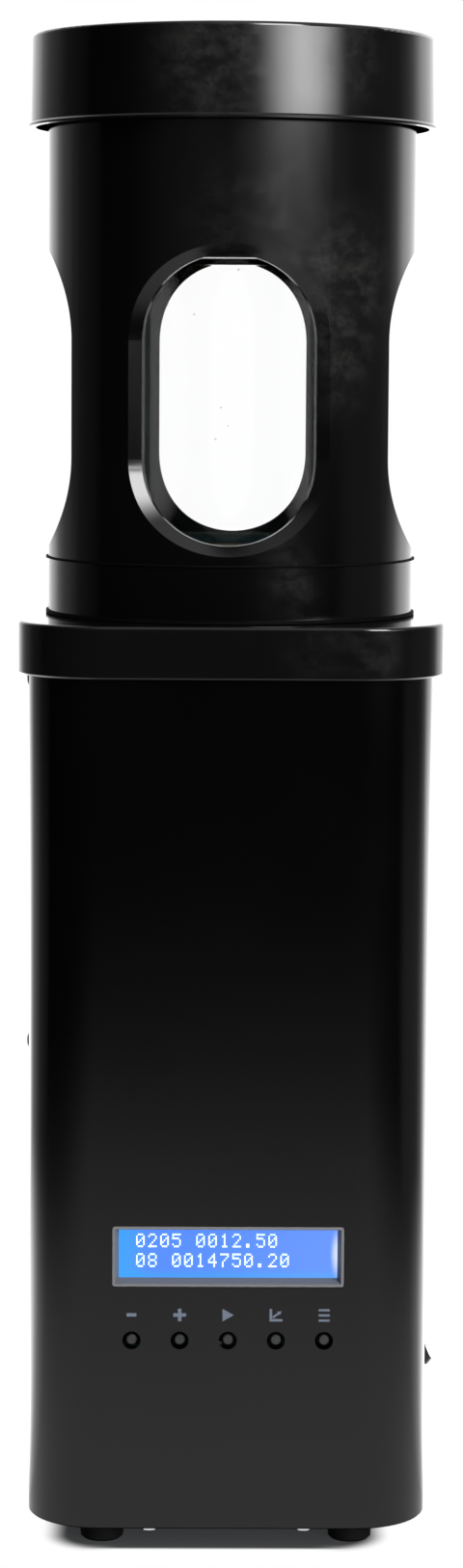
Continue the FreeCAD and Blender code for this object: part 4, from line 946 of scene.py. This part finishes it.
def write_line(mesh, figures, left, top, pitch, face_y):
    """A line of figures in dots, from the left and down from the top."""
    across, down = pitch * DOT_PITCH[0], pitch * DOT_PITCH[1]
    for place, figure in enumerate(figures):
        for row, dots in enumerate(FIGURES[figure]):
            for column, dot in enumerate(dots):
                if dot == "1":
                    x = left + place * pitch + (column + 0.5) * across
                    z = top - (row + 0.5) * down
                    raised_plate(mesh, rectangle(x, z, across * DOT_SHARE, down * DOT_SHARE), face_y, DOT_THICKNESS)


class ROASTER_OT_display(bpy.types.Operator):
    """Light the display and write plain figures on its two lines"""

    bl_idname = "roaster.display"
    bl_label = "Display"

    def execute(self, context):
        colours, sizes = settings().colours, settings().sizes
        dress(lit_display("display_glass", tuple(colours.display_blue), tuple(colours.display_edge), 1.0),
              "display_panel")
        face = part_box("display_panel")[0].y - DOT_LIFT
        mesh = bmesh.new()
        for figures, top in ((sizes.upper_line, LINES_TOP), (sizes.lower_line, LINES_TOP - sizes.line_pitch)):
            write_line(mesh, figures, LINES_LEFT, top, sizes.figure_pitch, face)
        add_piece("display_figures", mesh, glowing_figure("figure_light", tuple(colours.figure_white)), "base")
        return {"FINISHED"}


# ---- Panel and registration -----------------------------------------------------------
STEPS = ("sleeve", "mouldings", "metalwork", "seals_and_feet", "chimney", "heater", "electronics", "buttons",
         "button_marks", "display", "studio", "camera")


class ROASTER_PT_panel(bpy.types.Panel):
    """Lists the roaster's settings and steps"""

    bl_idname = "ROASTER_PT_panel"
    bl_label = "Coffee roaster"
    bl_space_type = "VIEW_3D"
    bl_region_type = "UI"
    bl_category = "Roaster"

    def draw(self, context):
        for group in (settings().colours, settings().sizes, settings().studio):
            column = self.layout.column(align=True)
            for name in type(group).__annotations__:
                column.prop(group, name)
        for step in STEPS:
            self.layout.operator("roaster." + step)


CLASSES = (RoasterColours, RoasterSizes, RoasterStudio, RoasterSettings, ROASTER_OT_studio, ROASTER_OT_camera,
           ROASTER_OT_sleeve, ROASTER_OT_mouldings, ROASTER_OT_metalwork, ROASTER_OT_seals_and_feet,
           ROASTER_OT_chimney, ROASTER_OT_heater, ROASTER_OT_electronics, ROASTER_OT_buttons,
           ROASTER_OT_button_marks, ROASTER_OT_display, ROASTER_PT_panel)


def register():
    for item in CLASSES:
        bpy.utils.register_class(item)
    bpy.types.Scene.roaster = PointerProperty(type=RoasterSettings)


def unregister():
    del bpy.types.Scene.roaster
    for item in reversed(CLASSES):
        bpy.utils.unregister_class(item)


def main():
    register()
    for step in STEPS:
        getattr(bpy.ops.roaster, step)()


if __name__ == "__main__":
    main()
